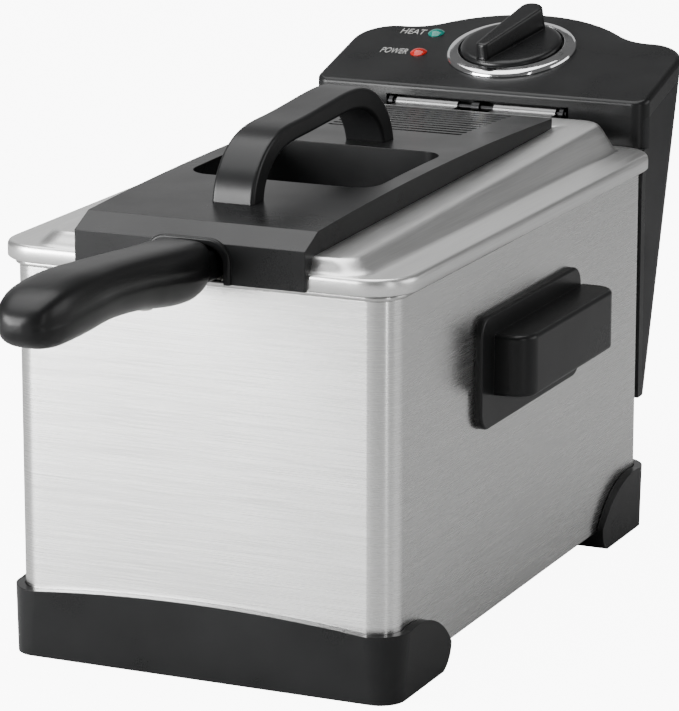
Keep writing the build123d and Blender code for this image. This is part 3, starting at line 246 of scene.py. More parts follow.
verts, faces = skin(lid_rings)
kept = [f for f in faces if not is_cut_away(sum((verts[i] for i in f), Vector()) / len(f))]
pressed_lid = add_piece("pressed_lid", verts, kept, "lid", "lid_steel")
thickness = pressed_lid.modifiers.new("thickness", "SOLIDIFY")
thickness.thickness = SHEET
thickness.offset = -1.0
apply_modifiers(pressed_lid)
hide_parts("lid_shell")
print("lid faces", len(pressed_lid.data.polygons))

# %% [markdown]
# ## The basket, woven from wire
#
# A fryer basket is a net: wires go down the walls and loops run round them, each passing over one and
# under the next. A solid shell would look like a bucket, so every wire is made. A wire is a row of points
# with a small ring of points about each, and the weave is a shift to one side or the other at each crossing.

# %% Sizes of the net
net_low, net_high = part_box("basket_mesh")
MESH_PITCH = 0.0061
WIRE_R = 0.00045
NET_CORNER = 0.014
NET_ROUND = 0.744  # once round the rim
NET_LEAN = 0.004


def wire(points, radius, loop=False, sides=6):
    """Tube of a few sides through points: verts and faces."""
    rings = []
    count = len(points)
    for i, p in enumerate(points):
        before = points[i - 1] if (i or loop) else p
        after = points[(i + 1) % count] if (i < count - 1 or loop) else p
        ahead = (after - before).normalized()
        side = ahead.cross(Vector((0.31, 0.17, 0.93))).normalized()
        up = side.cross(ahead)
        turns = [2 * math.pi * k / sides for k in range(sides)]
        rings.append([p + radius * (math.cos(a) * side + math.sin(a) * up) for a in turns])
    if loop:
        rings.append(rings[0])
    return skin(rings, cap=not loop)


def join_shapes(shapes):
    """One list of points and faces from many."""
    verts, faces = [], []
    for v, f in shapes:
        faces += [tuple(i + len(verts) for i in face) for face in f]
        verts += v
    return verts, faces


print("net", [round(v, 4) for v in (net_high - net_low)])


# %% The walls of the net
def net_outline(z, count):
    """Evenly spread points round the basket at a height, each with its outward direction."""
    lean = NET_LEAN * (net_high.z - z) / (net_high.z - net_low.z)
    half_x = (net_high.x - net_low.x) / 2 - lean - 2 * WIRE_R
    half_y = (net_high.y - net_low.y) / 2 - lean - 2 * WIRE_R
    middle_y = (net_high.y + net_low.y) / 2
    r = NET_CORNER
    flat_x, flat_y, arc = 2 * (half_x - r), 2 * (half_y - r), r * math.pi / 2
    runs = list(enumerate((flat_x, arc, flat_y, arc, flat_x, arc, flat_y, arc)))
    total = sum(length for _, length in runs)
    corners = {1: (1, -1), 3: (1, 1), 5: (-1, 1), 7: (-1, -1)}
    out = []
    for k in range(count):
        place = total * k / count
        for index, length in runs:
            if place <= length:
                break
            place -= length
        if index in corners:
            cx, cy = corners[index]
            angle = math.radians(-90 + 90 * (index // 2)) + place / r
            normal = Vector((math.cos(angle), math.sin(angle), 0))
            spot = Vector((cx * (half_x - r), cy * (half_y - r), 0)) + r * normal
        else:
            side = index // 2
            normal = Vector(((0, 1, 0, -1)[side], (-1, 0, 1, 0)[side], 0))
            along = Vector((-normal.y, normal.x, 0))
            reach = half_y if side % 2 == 0 else half_x
            spot = normal * reach + along * (place - length / 2)
        out.append((spot + Vector((0, middle_y, z)), normal))
    return out


columns = 2 * round(NET_ROUND / MESH_PITCH / 2)
levels = round((net_high.z - net_low.z) / MESH_PITCH)
rise = net_high.z - net_low.z - WIRE_R
wall = [net_outline(net_low.z + WIRE_R + rise * j / levels, columns) for j in range(levels + 1)]


def weave(i, j):
    """Over or under: the shift of a wire at a crossing."""
    return WIRE_R * (1 if (i + j) % 2 else -1)


shapes = []
for i in range(columns):
    upright = [wall[j][i][0] + wall[j][i][1] * weave(i, j) for j in range(levels + 1)]
    shapes.append(wire(upright, WIRE_R))
for j in range(levels):
    around = [wall[j][i][0] - wall[j][i][1] * weave(i, j) for i in range(columns)]
    shapes.append(wire(around, WIRE_R, loop=True))
print("wall wires", columns, "loops", levels)


# %% The floor of the net
def floor_wires(lengthwise):
    """Straight wires across the floor, trimmed to its rounded outline."""
    half_x = (net_high.x - net_low.x) / 2 - NET_LEAN - 2 * WIRE_R
    half_y = (net_high.y - net_low.y) / 2 - NET_LEAN - 2 * WIRE_R
    middle_y, r = (net_high.y + net_low.y) / 2, NET_CORNER
    span, reach = (half_x, half_y) if lengthwise else (half_y, half_x)
    number = round(2 * span / MESH_PITCH)
    wires = []
    for k in range(1, number):
        offset = -span + 2 * span * k / number
        into = max(0.0, abs(offset) - (span - r))
        end = reach - r + math.sqrt(r * r - into * into)
        steps = round(2 * end / MESH_PITCH)
        points = []
        for step in range(steps + 1):
            run = -end + 2 * end * step / steps
            z = net_low.z + 2 * WIRE_R + weave(k, step + lengthwise)
            points.append(Vector((offset, run + middle_y, z) if lengthwise else (run, offset + middle_y, z)))
        wires.append(wire(points, WIRE_R))
    return wires


shapes += floor_wires(True) + floor_wires(False)
woven_basket = add_piece("woven_basket", *join_shapes(shapes), "basket", "basket_wire")
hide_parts("basket_mesh")
print("basket faces", len(woven_basket.data.polygons))

# %% [markdown]
# ## The moulded basket grip
#
# The grip is a long soft bar with a broad flat top, thin at the waist and full at its round end. Two half
# shells meet in a fine groove. We draw cross-sections at a few stations, let a smooth curve pass through
# their sizes, and make many rings in between: a lofted skin never shows where one station ends.

# %% Stations of the grip
rim_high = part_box("oil_pan")[1]
grip_low, grip_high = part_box("basket_grip_upper")
GRIP_TIP = grip_low.y
RIM_OVER_BODY = 0.0027
BODY_TOP = rim_high.z - RIM_OVER_BODY
# share of the length from the tip, height of the middle over the body, half height, half width
GRIP_STATIONS = [
    (0.000, 15.5, 0.4, 0.5),
    (0.002, 15.5, 2.6, 3.6),
    (0.012, 15.7, 5.6, 7.6),
    (0.035, 16.0, 8.6, 10.9),
    (0.075, 16.4, 11.0, 13.3),
    (0.140, 17.0, 12.5, 14.6),
    (0.270, 17.6, 13.0, 14.4),
    (0.430, 17.2, 12.1, 13.0),
    (0.600, 15.2, 12.1, 12.7),
    (0.710, 13.2, 12.6, 13.3),
    (0.800, 11.6, 13.1, 13.9),
    (0.880, 10.7, 13.0, 14.2),
    (0.935, 10.9, 11.9, 13.7),
    (0.970, 11.4, 10.2, 12.4),
    (0.990, 11.9, 8.0, 10.4),
    (1.000, 12.3, 5.2, 7.6),
]
GRIP_LENGTH = 0.1515
GRIP_ROOT = grip_low.y + GRIP_LENGTH
MM = 0.001


def smooth_between(rows, at):
    """Catmull-Rom through the rows, at a place counted in rows."""
    k = min(int(at), len(rows) - 2)
    t = at - k
    p0, p1, p2, p3 = rows[max(k - 1, 0)], rows[k], rows[k + 1], rows[min(k + 2, len(rows) - 1)]
    out = []
    for a, b, c, d in zip(p0, p1, p2, p3):
        squared, cubed = 2 * a - 5 * b + 4 * c - d, 3 * b - a - 3 * c + d
        out.append(0.5 * (2 * b + (c - a) * t + squared * t * t + cubed * t**3))
    return out


# %% Loft the grip
def grip_section(half_h, half_w, groove):
    """Soft rectangle with a fine groove at each side, as (x, z) points."""
    points = []
    corners = 44
    turns = [2 * math.pi * k / corners for k in range(corners)]
    turns += [base + shift for base in (0.0, math.pi) for shift in (-0.035, 0.035)]
    for turn in sorted(t % (2 * math.pi) for t in turns):
        c, s = math.cos(turn), math.sin(turn)
        power = 2 / 3.3 if s > 0 else 2 / 2.7
        x = half_w * math.copysign(abs(c) ** (power * 0.92), c)
        z = half_h * math.copysign(abs(s) ** power, s)
        at_seam = abs(math.sin(turn)) < 0.01
        points.append((x - math.copysign(groove, x) if at_seam else x, z))
    return points


grip_rings = []
stretches = 110
for k in range(stretches + 1):
    share, middle, half_h, half_w = smooth_between(GRIP_STATIONS, (len(GRIP_STATIONS) - 1) * k / stretches)
    y = GRIP_TIP + (GRIP_ROOT - GRIP_TIP) * min(max(share, 0.0), 1.0)
    groove = 0.35 * min(1.0, max(half_w - 6.0, 0.0) / 4.0)
    section = grip_section(max(half_h, 0.3), max(half_w, 0.3), groove)
    grip_rings.append([Vector((x * MM, y, BODY_TOP + (middle + z) * MM)) for x, z in section])
basket_grip = add_piece("basket_grip", *skin(grip_rings, cap=True), "basket", "grip_plastic")
print("grip rings", len(grip_rings))

# %% [markdown]
# ## The neck of the grip
#
# Between the grip and the basket a square neck passes through the notch in the lid's front plate. It is a
# plain moulded block with softened edges, a little narrower than the grip.


# %% Mould the neck
def soft_block(name, low, high, bevel, body, slot):
    """A block with rounded edges, from its lowest to its highest corner."""
    work = bmesh.new()
    bmesh.ops.create_cube(work, size=1.0)
    middle, size = (low + high) / 2, high - low
    for v in work.verts:
        v.co = Vector((middle.x + v.co.x * size.x, middle.y + v.co.y * size.y, middle.z + v.co.z * size.z))
    bmesh.ops.bevel(work, geom=work.edges[:], offset=bevel, segments=4, profile=0.5, affect="EDGES")
    verts = [v.co.copy() for v in work.verts]
    work.verts.index_update()
    faces = [tuple(v.index for v in f.verts) for f in work.faces]
    work.free()
    return add_piece(name, verts, faces, body, slot)


neck_low = Vector((-0.0128, GRIP_ROOT - 0.012, BODY_TOP + 0.0045))
neck_high = Vector((0.0128, grip_high.y, BODY_TOP + 0.0173))
grip_neck = soft_block("grip_neck", neck_low, neck_high, 0.0015, "basket", "grip_plastic")
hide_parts("basket_grip_upper", "basket_grip_lower")
print("neck", [round(v, 4) for v in neck_high - neck_low])

# %% [markdown]
# ## Marks on the dial and by the lamps
#
# Printed marks are a few hundredths of a millimetre thick. Real geometry that thin still catches the light
# and survives an export, so the numbers, ticks and words are thin plates laid on the ring and the panel.
# The panel slopes, and the dial's own turning axis says how much. Everything here is drawn on that slope.

# %% The sloping panel as a place to draw on
dial_joint = next(j for j in frame["joints"] if j["name"] == "dial_turn")
PANEL_NORMAL = -Vector(dial_joint["axis"]).normalized()
UP_SLOPE = PANEL_NORMAL.cross(Vector((1, 0, 0))).normalized()
dial_centre = Vector(dial_joint["pos_m"])
ring_heights = [v.co.dot(PANEL_NORMAL) for v in nodes["dial_ring"].data.vertices]
dial_centre += PANEL_NORMAL * (min(ring_heights) - dial_centre.dot(PANEL_NORMAL))


def on_panel(x, up, height):
    """A place on the sloping panel, measured from the middle of the dial."""
    return dial_centre + Vector((x, 0, 0)) + UP_SLOPE * up + PANEL_NORMAL * height


def label(words, size, x, up, height, turn, centred, narrow=1.0):
    """Flat lettering on the panel as points and faces; narrow squeezes it sideways."""
    text = bpy.data.curves.new("lettering", "FONT")
    text.body = words
    text.size = size
    text.extrude = 0.00003
    text.align_x = "CENTER" if centred else "RIGHT"
    text.align_y = "CENTER"
    holder = bpy.data.objects.new("lettering", text)
    bpy.context.scene.collection.objects.link(holder)
    bpy.context.view_layer.update()
    shape = bpy.data.meshes.new_from_object(holder.evaluated_get(bpy.context.evaluated_depsgraph_get()))
    c, s = math.cos(turn), math.sin(turn)
    verts = []
    for v in shape.vertices:
        across, rise = v.co.x * narrow, v.co.y
        verts.append(on_panel(x + across * c - rise * s, up + across * s + rise * c, height + v.co.z))
    faces = [tuple(p.vertices) for p in shape.polygons]
    bpy.data.objects.remove(holder)
    bpy.data.curves.remove(text)
    bpy.data.meshes.remove(shape)
    return verts, faces


print("panel leans", round(math.degrees(math.acos(PANEL_NORMAL.z)), 1), "degrees")

# %% [markdown]
# ## The chromed dial ring
#
# The ring is a turned part: one profile swept once round an axis. The eye reads chrome by its edges, so the
# profile has a sharp inner lip, a broad band that slopes gently outwards to carry the numbers, and a rounded
# outer edge. A lathe in code is a list of radii and heights, repeated round the circle.

# %% Turn the ring
RING_PROFILE = [
    (26.55, 0.05), (26.55, 2.75), (26.75, 2.95), (27.1, 2.98), (30.6, 2.35), (31.3, 2.1), (31.9, 1.65),
    (32.35, 1.05), (32.6, 0.4), (32.65, 0.05),
]
RING_STEPS = 160


def band_height(radius):
    """Height of the ring's sloping band at a radius, both in metres."""
    return (2.98 - (radius / MM - 27.1) * 0.18) * MM


def lathe(profile, steps, first=0.0, last=2 * math.pi):
    """Rings of points round the dial's axis, one for each step of the turn."""
    rings = []
    for k in range(steps):
        turn = first + (last - first) * k / steps
        rings.append([on_panel(r * MM * math.cos(turn), r * MM * math.sin(turn), h * MM) for r, h in profile])
    return rings


turned = lathe(RING_PROFILE, RING_STEPS)
chrome_ring = add_piece("chrome_ring", *skin(turned + turned[:1]), "control_unit", "ring_chrome")
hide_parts("dial_ring")
print("ring faces", len(chrome_ring.data.polygons))

# %% [markdown]
# ## The temperature knob
#
# A knob like this is a shallow disc with a wedge across it: narrow at the nose, which points at a number, and
# broad and high at the tail, where the fingers hold it. The wedge is made as rings again. Each ring is a
# rounded outline of the wedge's plan, and the rings go up its sides and close over a crowned top.

# %% Outline of the wedge
knob_body = next(j for j in frame["joints"] if j["name"] == "dial_turn")["child"]
KNOB_TURN = math.radians(16.0)
NOSE_AT, TAIL_AT = -24.4, 23.4
NOSE_HALF, TAIL_HALF = 3.3, 6.6
NOSE_H, TAIL_H, FOOT_H = 13.2, 16.7, 3.0
DISC_R, DISC_H = 25.4, 5.0


def wedge_outline(shrink):
    """Half widths along the wedge as a closed outline in mm, pulled in by shrink."""
    stations = 24
    side = []
    for k in range(stations + 1):
        share = k / stations
        along = NOSE_AT + shrink + (TAIL_AT - NOSE_AT - 2 * shrink) * (0.5 - 0.5 * math.cos(math.pi * share))
        flat = NOSE_HALF + (TAIL_HALF - NOSE_HALF) * (along - NOSE_AT) / (TAIL_AT - NOSE_AT) - shrink
        from_nose, from_tail = along - NOSE_AT - shrink, TAIL_AT - shrink - along
        round_nose = math.sqrt(max(0.0, 1 - (1 - min(1.0, from_nose / 1.6)) ** 2))
        round_tail = math.sqrt(max(0.0, 1 - (1 - min(1.0, from_tail / 5.0)) ** 2))
        side.append((max(0.02, flat * (0.3 + 0.7 * round_nose) * round_tail), along))
    return side + [(-half, along) for half, along in reversed(side)]


def knob_point(across, along, height):
    """A place on the turned knob, in mm from the dial's middle."""
    c, s = math.cos(-KNOB_TURN), math.sin(-KNOB_TURN)
    return on_panel((across * c - along * s) * MM, (across * s + along * c) * MM, height * MM)


print("knob rides on", knob_body)

# %% Raise the wedge and turn its disc
# how far the outline is pulled in, and the share of the height there
WEDGE_SIDES = [(-0.25, 0.0), (0.0, 0.35), (0.1, 0.88), (0.25, 0.945), (0.65, 0.98), (1.2, 0.997), (2.0, 1.0)]
wedge_rings = []
for shrink, up in WEDGE_SIDES:
    ring = []
    for across, along in wedge_outline(shrink):
        share = (along - NOSE_AT) / (TAIL_AT - NOSE_AT)
        top = NOSE_H + (TAIL_H - NOSE_H) * share
        ring.append(knob_point(across, along, FOOT_H + (top - FOOT_H) * up))
    wedge_rings.append(ring)
disc_profile = [
    (0.1, DISC_H), (8.0, DISC_H), (22.0, DISC_H), (23.6, 4.85), (24.6, 4.45), (25.15, 3.8), (DISC_R, 3.0),
    (DISC_R, 0.9), (0.1, 0.9),
]
turned = lathe(disc_profile, 120)
disc = skin(turned + turned[:1])
temperature_dial = add_piece(
    "temperature_dial", *join_shapes([disc, skin(wedge_rings, cap=True)]), knob_body, "black_plastic"
)
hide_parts("temperature_knob")
print("knob faces", len(temperature_dial.data.polygons))

# %% Numbers and ticks on the ring
MARK_RADIUS = 0.0288
MARK_HEIGHT = band_height(MARK_RADIUS) + 0.00022  # the letters are flat, so they clear the sloping band
FIRST_MARK, MARK_STEP, TICK_START, TICK_STEP = -100, 45, 5.6, 11.25  # degrees
ring_marks = []
marks = ["OFF", "130", "150", "170", "190"]
for index, words in enumerate(marks):
    bearing = math.radians(FIRST_MARK + MARK_STEP * index)
    x, up = MARK_RADIUS * math.cos(bearing), MARK_RADIUS * math.sin(bearing)
    ring_marks.append(label(words, 0.0025, x, up, MARK_HEIGHT, bearing + math.radians(90), True))
for index in range(17):
    bearing = math.radians(FIRST_MARK + TICK_STEP * index + TICK_START)
    radial = Vector((math.cos(bearing), math.sin(bearing)))
    across = Vector((-radial.y, radial.x)) * 0.00012
    inner, outer = radial * 0.0274, radial * 0.0286
    flat = [inner - across, outer - across, outer + across, inner + across]
    low = [on_panel(p.x, p.y, band_height(p.length) - 0.0001) for p in flat]
    high = [on_panel(p.x, p.y, band_height(p.length) + 0.00005) for p in flat]
    ring_marks.append(skin([low, high], cap=True))
dial_marks = add_piece("dial_marks", *join_shapes(ring_marks), "control_unit", "black_plastic", smooth=False)
print("ring marks", len(ring_marks))


# %% Words beside the lamps
def lamp_place(node):
    """Where a lamp sits on the panel, measured from the dial."""
    low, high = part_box(node)
    out = (low + high) / 2 - dial_centre
    return out.x, out.dot(UP_SLOPE)


words = []
for node, text, narrow in (("heat_lamp_lens", "HEAT", 0.64), ("power_lamp_lens", "POWER", 0.50)):
    x, up = lamp_place(node)
    words.append(label(text, 0.0084, x - 0.0060, up, 0.00002, 0.0, False, narrow))
lamp_words = add_piece("lamp_words", *join_shapes(words), "control_unit", "grey_plastic", smooth=False)
print("words", len(words))

# %% [markdown]
# ## Materials: a small kit of nodes
#
# Every finish below is made of the same few moves. Noise, stretched along the grain, decides where a
# surface is rougher, darker or dented. Values that are the same everywhere stay on the shader itself.
# Object coordinates are used throughout, because they are true metres: a grain of a quarter of a
# millimetre is then a quarter of a millimetre on every piece.


# %% Node helpers
def new_finish(name, colour, metallic, roughness):
    """A material with its shader's constants set. Returns the material, its node tree and the shader."""
    material = bpy.data.materials.new(name)
    material.use_nodes = True
    shader = material.node_tree.nodes["Principled BSDF"]
    shader.inputs["Base Color"].default_value = (*colour, 1.0)
    shader.inputs["Metallic"].default_value = metallic
    shader.inputs["Roughness"].default_value = roughness
    return material, material.node_tree, shader


def noise(tree, stretch, detail=2.0, roughness=0.5):
    """Noise over the piece in metres; stretch is the number of ripples per metre along each axis."""
    place = tree.nodes.new("ShaderNodeTexCoord")
    sized = tree.nodes.new("ShaderNodeMapping")
    sized.inputs["Scale"].default_value = stretch
    pattern = tree.nodes.new("ShaderNodeTexNoise")
    pattern.inputs["Scale"].default_value = 1.0
    pattern.inputs["Detail"].default_value = detail
    pattern.inputs["Roughness"].default_value = roughness
    tree.links.new(place.outputs["Object"], sized.inputs["Vector"])
    tree.links.new(sized.outputs["Vector"], pattern.inputs["Vector"])
    return pattern.outputs["Fac"]


def spread(tree, value, low, high, start=0.3, end=0.7):
    """Stretches a value between start and end over low to high."""
    ramp = tree.nodes.new("ShaderNodeMapRange")
    for name, number in (("From Min", start), ("From Max", end), ("To Min", low), ("To Max", high)):
        ramp.inputs[name].default_value = number
    tree.links.new(value, ramp.inputs["Value"])
    return ramp.outputs["Result"]


def shade(tree, value, dark, light, start=0.3, end=0.7):
    """Colour that runs from dark to light as the value rises."""
    ramp = tree.nodes.new("ShaderNodeValToRGB")
    ramp.color_ramp.elements[0].position = start
    ramp.color_ramp.elements[1].position = end
    ramp.color_ramp.elements[0].color = (*dark, 1.0)
    ramp.color_ramp.elements[1].color = (*light, 1.0)
    tree.links.new(value, ramp.inputs["Fac"])
    return ramp.outputs["Color"]


def add_up(tree, a, b, share):
    """a + b * share."""
    total = tree.nodes.new("ShaderNodeMath")
    total.operation = "MULTIPLY_ADD"
    total.inputs[1].default_value = share
    tree.links.new(b, total.inputs[0])
    tree.links.new(a, total.inputs[2])
    return total.outputs["Value"]


def dent(tree, shader, value, depth, strength=1.0, soften=None):
    """Bump of a depth in metres, over edges softened by a small radius."""
    bump = tree.nodes.new("ShaderNodeBump")
    bump.inputs["Strength"].default_value = strength
    bump.inputs["Distance"].default_value = depth
    tree.links.new(value, bump.inputs["Height"])
    if soften:
        edge = tree.nodes.new("ShaderNodeBevel")
        edge.samples = 4
        edge.inputs["Radius"].default_value = soften
        tree.links.new(edge.outputs["Normal"], bump.inputs["Normal"])
    tree.links.new(bump.outputs["Normal"], shader.inputs["Normal"])


print("node kit ready")

# %% [markdown]
# ## Brushed stainless steel
#
# Brushing leaves fine scratches all one way, so light spreads across them and streaks. Three layers make
# it: the scratches themselves, wider bands where the belt pressed harder, and a slow cloudiness. The body
# is brushed level, along its width and length, and the lid from front to back.


# %% Steel for the body, the lid and the pan
def brushed_steel(name, colour, fine, bands, low, high, streak):
    material, tree, shader = new_finish(name, colour, 1.0, 0.3)
    scratches = noise(tree, fine, 3.0, 0.65)
    belt = noise(tree, bands, 2.0)
    cloud = noise(tree, (9.0, 9.0, 9.0), 2.0)
    mixed = add_up(tree, scratches, belt, 0.25)
    mixed = add_up(tree, mixed, cloud, 0.5)
    tree.links.new(spread(tree, mixed, low, high, 0.6, 1.1), shader.inputs["Roughness"])
    dark = tuple(c * 0.86 for c in colour)
    tree.links.new(shade(tree, scratches, dark, colour), shader.inputs["Base Color"])
    dent(tree, shader, add_up(tree, scratches, belt, 0.12), 0.000008, 0.30, soften=0.0006)
    shader.inputs["Anisotropic"].default_value = streak
    shader.inputs["Anisotropic Rotation"].default_value = 0.25
    tangent = tree.nodes.new("ShaderNodeTangent")
    tangent.direction_type = "RADIAL"
    tangent.axis = "Z"
    tree.links.new(tangent.outputs["Tangent"], shader.inputs["Tangent"])
    return material


level, lengthwise = (18.0, 18.0, 3200.0), (2600.0, 14.0, 2600.0)
finishes = {
    "body_steel": brushed_steel(
        "brushed_body", (0.90, 0.90, 0.89), level, (5.0, 5.0, 420.0), 0.22, 0.30, 0.70
    ),
    "lid_steel": brushed_steel(
        "brushed_lid", (0.92, 0.92, 0.91), lengthwise, (300.0, 3.0, 300.0), 0.30, 0.38, 0.0
    ),
    "pan_steel": brushed_steel(
        "drawn_pan", (0.68, 0.68, 0.67), (60.0, 60.0, 1500.0), (30.0, 30.0, 90.0), 0.18, 0.32, 0.3
    ),
}
print("steels", len(finishes))

# %% [markdown]
# ## Black plastics
#
# Satin black moulding is never one black. Its texture breaks highlights up, wiping hands polish it in
# patches, and its colour drifts a little. The grip is smoother than the housings, and the bases are glossier.


# %% Moulded plastics and rubber
def moulded(name, colour, low, high, texture, depth, soften=0.0005):
    material, tree, shader = new_finish(name, colour, 0.0, (low + high) / 2)
    shader.inputs["Specular IOR Level"].default_value = 0.27
    patches = noise(tree, (24.0, 24.0, 24.0), 3.0)
    skin_grain = noise(tree, (texture, texture, texture), 2.0, 0.6)
    mixed = add_up(tree, patches, skin_grain, 0.3)
    tree.links.new(spread(tree, mixed, low, high, 0.4, 0.9), shader.inputs["Roughness"])
    light = tuple(c * 1.35 for c in colour)
    tree.links.new(shade(tree, patches, colour, light), shader.inputs["Base Color"])
    dent(tree, shader, skin_grain, depth, 0.6, soften)
    return material


finishes["black_plastic"] = moulded("satin_black", (0.0080, 0.0082, 0.0085), 0.25, 0.36, 2600.0, 0.00002)
finishes["grey_plastic"] = moulded("satin_charcoal", (0.0100, 0.0104, 0.0112), 0.34, 0.46, 2200.0, 0.00003)
finishes["grip_plastic"] = moulded("grip_black", (0.0055, 0.0056, 0.0058), 0.28, 0.38, 3000.0, 0.00001, None)
finishes["switch_plastic"] = moulded("phenolic", (0.030, 0.028, 0.027), 0.30, 0.45, 1500.0, 0.00003)
finishes["foot_rubber"] = moulded("foot_rubber", (0.020, 0.020, 0.020), 0.65, 0.85, 1200.0, 0.00006)
finishes["seal_rubber"] = moulded("seal_rubber", (0.030, 0.030, 0.030), 0.55, 0.75, 1400.0, 0.00004)
finishes["button_plastic"] = moulded("reset_red", (0.45, 0.030, 0.022), 0.25, 0.40, 1800.0, 0.00002)
print("finishes", len(finishes))

# %% [markdown]
# ## Plated, wired and heated metals
#
# Chrome is almost a mirror with a faint haze. Nickelled wire is duller where it was welded, zinc plating
# shows a crystalline patchwork, and a heating element turns straw, blue and brown as it ages in hot oil.


# %% Small metals
def plated(name, colour, low, high, patch, dark_share=0.75, depth=0.00001):
    material, tree, shader = new_finish(name, colour, 1.0, (low + high) / 2)
    patches = noise(tree, (patch, patch, patch), 4.0, 0.6)
    fine = noise(tree, (2500.0, 2500.0, 2500.0), 1.0)
    mixed = add_up(tree, patches, fine, 0.2)
    tree.links.new(spread(tree, mixed, low, high, 0.4, 0.8), shader.inputs["Roughness"])
    dark = tuple(c * dark_share for c in colour)
    tree.links.new(shade(tree, patches, dark, colour), shader.inputs["Base Color"])
    dent(tree, shader, fine, depth, 0.4, 0.0002)
    return material


finishes["ring_chrome"] = plated("ring_chrome", (0.86, 0.86, 0.87), 0.05, 0.13, 160.0, 0.92)
finishes["basket_wire"] = plated("nickel_wire", (0.66, 0.65, 0.62), 0.18, 0.34, 300.0)
finishes["zinc_steel"] = plated("zinc_plate", (0.58, 0.58, 0.55), 0.28, 0.46, 420.0)
finishes["black_steel"] = plated("blackened_steel", (0.035, 0.035, 0.036), 0.30, 0.45, 300.0)
finishes["hinge_steel"] = plated("hinge_steel", (0.20, 0.20, 0.20), 0.25, 0.40, 300.0)
finishes["pin_brass"] = plated("brass", (0.72, 0.56, 0.27), 0.20, 0.34, 240.0)


def heated_sheath():
    """Dark steel with the straw, brown and blue of heat."""
    material, tree, shader = new_finish("heated_sheath", (0.16, 0.14, 0.13), 1.0, 0.35)
    heat = noise(tree, (38.0, 38.0, 38.0), 3.0)
    tint = tree.nodes.new("ShaderNodeValToRGB")
    stops = tint.color_ramp.elements
    stops[0].position, stops[0].color = 0.32, (0.10, 0.095, 0.09, 1)
    stops[1].position, stops[1].color = 0.70, (0.24, 0.19, 0.13, 1)
    stops.new(0.45).color = (0.15, 0.11, 0.09, 1)
    stops.new(0.58).color = (0.12, 0.13, 0.17, 1)
    tree.links.new(heat, tint.inputs["Fac"])
    tree.links.new(tint.outputs["Color"], shader.inputs["Base Color"])
    scale = noise(tree, (900.0, 900.0, 900.0), 2.0)
    tree.links.new(spread(tree, scale, 0.28, 0.5), shader.inputs["Roughness"])
    dent(tree, shader, scale, 0.00004, 0.5)
    return material


finishes["element_steel"] = heated_sheath()
print("finishes", len(finishes))

# %% [markdown]
# ## Lenses, glass and felt
#
# The lamps' lenses are clear coloured plastic over a dark hole, so they look deep, with a bright spot. The
# window is thick toughened glass with the faint film that steam leaves. The filter is a mat of grey fibres.


# %% Clear and soft finishes
def clear(name, colour, low, high, through, film=60.0):
    material, tree, shader = new_finish(name, colour, 0.0, low)
    haze = noise(tree, (film, film, film), 3.0)
    tree.links.new(spread(tree, haze, low, high), shader.inputs["Roughness"])
    dark = tuple(c * 0.8 for c in colour)
    tree.links.new(shade(tree, haze, dark, colour), shader.inputs["Base Color"])
    dent(tree, shader, haze, 0.00002, 0.3)
    shader.inputs["Transmission Weight"].default_value = through
    shader.inputs["IOR"].default_value = 1.49
    return material


finishes["green_lens"] = clear("green_lens", (0.004, 0.20, 0.16), 0.06, 0.12, 0.15, 900.0)
finishes["red_lens"] = clear("red_lens", (0.50, 0.012, 0.008), 0.06, 0.12, 0.15, 900.0)
finishes["window_glass"] = clear("window_glass", (0.50, 0.52, 0.52), 0.03, 0.10, 0.9)


def felt():
    material, tree, shader = new_finish("filter_felt", (0.30, 0.30, 0.29), 0.0, 0.95)
    fibres = noise(tree, (900.0, 2600.0, 900.0), 4.0, 0.7)
    tree.links.new(shade(tree, fibres, (0.16, 0.16, 0.15), (0.42, 0.41, 0.39)), shader.inputs["Base Color"])
    tree.links.new(spread(tree, fibres, 0.8, 1.0), shader.inputs["Roughness"])
    dent(tree, shader, fibres, 0.0003, 0.8)
    shader.inputs["Sheen Weight"].default_value = 0.3
    return material


finishes["filter_felt"] = felt()


def ink(name, colour):
    """Printed marks: a matt coat, a little thin in places."""
    material, tree, shader = new_finish(name, colour, 0.0, 0.6)
    worn = noise(tree, (1500.0, 1500.0, 1500.0), 2.0)
    tree.links.new(shade(tree, worn, tuple(c * 0.7 for c in colour), colour), shader.inputs["Base Color"])
    tree.links.new(spread(tree, worn, 0.5, 0.75), shader.inputs["Roughness"])
    return material


dark_ink, pale_ink = ink("dark_ink", (0.05, 0.05, 0.05)), ink("pale_ink", (0.42, 0.42, 0.41))
print("finishes", len(finishes))


# %% Dress every node and piece
def dress(piece, material):
    piece.data.materials.clear()
    piece.data.materials.append(material)


for name, node in nodes.items():
    dress(node, finishes[slot_of[name]])
for name in ("hinge_pin", "hinge_bracket"):
    dress(nodes[name], finishes["black_steel"])
dress(nodes["hinge_tongues"], finishes["hinge_steel"])
dress(chrome_ring, finishes["ring_chrome"])
dress(temperature_dial, finishes["black_plastic"])
dress(pressed_lid, finishes["lid_steel"])
dress(woven_basket, finishes["basket_wire"])
dress(basket_grip, finishes["grip_plastic"])
dress(grip_neck, finishes["grip_plastic"])
dress(dial_marks, dark_ink)
dress(lamp_words, pale_ink)
print("dressed", len(nodes) + 8)

# %% [markdown]
# ## The studio
#
# Steel shows what surrounds it, so the room is what one sees on the fryer. A strong soft light at the front
# left fills the front of the body. A large one overhead models the lid. One behind draws the glancing shine
# on every black top. At the right, a narrow one makes the bright line on the rounded corner, and a broad,
# weak one keeps the side a middle grey. The rest of the air is dim, so that black stays black.
#
# The floor is pale to the eye, by a glow which only the camera sees. To the steel it is a quieter grey.


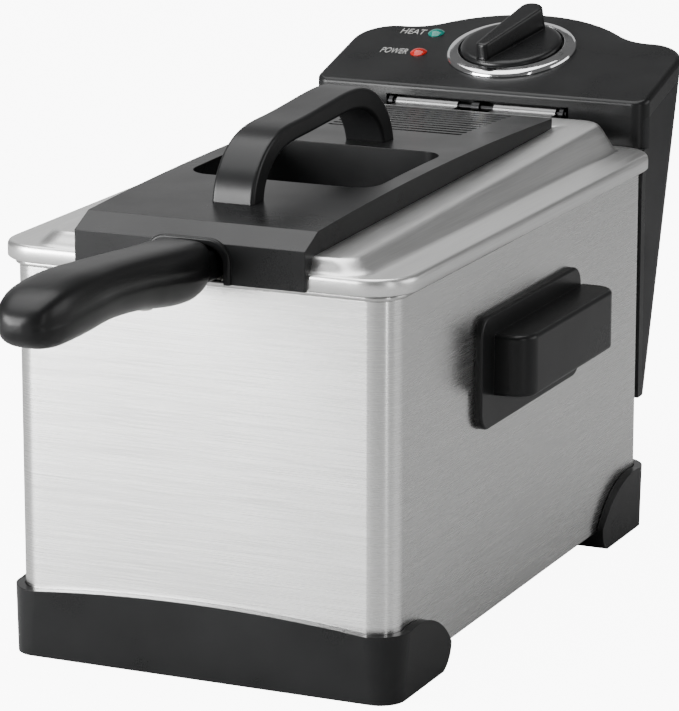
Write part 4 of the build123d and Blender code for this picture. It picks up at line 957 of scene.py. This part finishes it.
# %% Floor and world
def stage_floor(half, colour):
    mesh = bpy.data.meshes.new("floor")
    corners = [(-half, -half, 0), (half, -half, 0), (half, half, 0), (-half, half, 0)]
    mesh.from_pydata(corners, [], [(0, 1, 2, 3)])
    floor = bpy.data.objects.new("floor", mesh)
    bpy.context.scene.collection.objects.link(floor)
    material, tree, shader = new_finish("floor_paper", colour, 0.0, 0.9)
    fleck = noise(tree, (40.0, 40.0, 40.0), 3.0)
    tree.links.new(spread(tree, fleck, 0.85, 0.95), shader.inputs["Roughness"])
    shader.inputs["Emission Color"].default_value = (1, 1, 1, 1)
    eye = tree.nodes.new("ShaderNodeLightPath")
    glow = tree.nodes.new("ShaderNodeMath")
    glow.operation = "MULTIPLY"
    glow.inputs[1].default_value = FLOOR_GLOW
    tree.links.new(eye.outputs["Is Camera Ray"], glow.inputs[0])
    tree.links.new(glow.outputs["Value"], shader.inputs["Emission Strength"])
    mesh.materials.append(material)


FLOOR_GLOW = 9.0
stage_floor(12.0, (0.42, 0.42, 0.42))
world = bpy.data.worlds.new("studio_air")
bpy.context.scene.world = world
world.use_nodes = True
air = world.node_tree
back = air.nodes["Background"]
back.inputs["Strength"].default_value = 0.15
seen = air.nodes.new("ShaderNodeBackground")
seen.inputs["Strength"].default_value = 11.0
rays = air.nodes.new("ShaderNodeLightPath")
mix = air.nodes.new("ShaderNodeMixShader")
back.inputs["Color"].default_value = (1, 1, 1, 1)
air.links.new(rays.outputs["Is Camera Ray"], mix.inputs["Fac"])
air.links.new(back.outputs["Background"], mix.inputs[1])
air.links.new(seen.outputs["Background"], mix.inputs[2])
air.links.new(mix.outputs["Shader"], air.nodes["World Output"].inputs["Surface"])


# %% Soft lights
def softbox(name, place, target, width, height, glow):
    """Area light of an even brightness, facing a point."""
    light = bpy.data.lights.new(name, "AREA")
    light.shape = "RECTANGLE"
    light.size, light.size_y = width, height
    light.energy = glow * math.pi * width * height
    lamp = bpy.data.objects.new(name, light)
    lamp.location = place
    lamp.rotation_euler = (Vector(target) - Vector(place)).to_track_quat("-Z", "Y").to_euler()
    bpy.context.scene.collection.objects.link(lamp)
    return lamp


softbox("overhead", (-0.3, 0.0, 1.7), (0, 0, 0), 1.8, 1.6, 3.8)
softbox("rear_left", (-1.1, 2.2, 0.85), (0, 0, 0.2), 2.6, 1.3, 0.55)
softbox("front_left", (-1.35, -1.75, 0.60), (0, -0.1, 0.1), 1.3, 1.1, 24.0)
softbox("right_strip", (0.80, -0.50, 0.30), (0.09, -0.1, 0.1), 0.06, 0.7, 8.0)
softbox("right_far", (2.0, 0.9, 0.7), (0.1, 0.05, 0.1), 1.7, 1.3, 2.2)
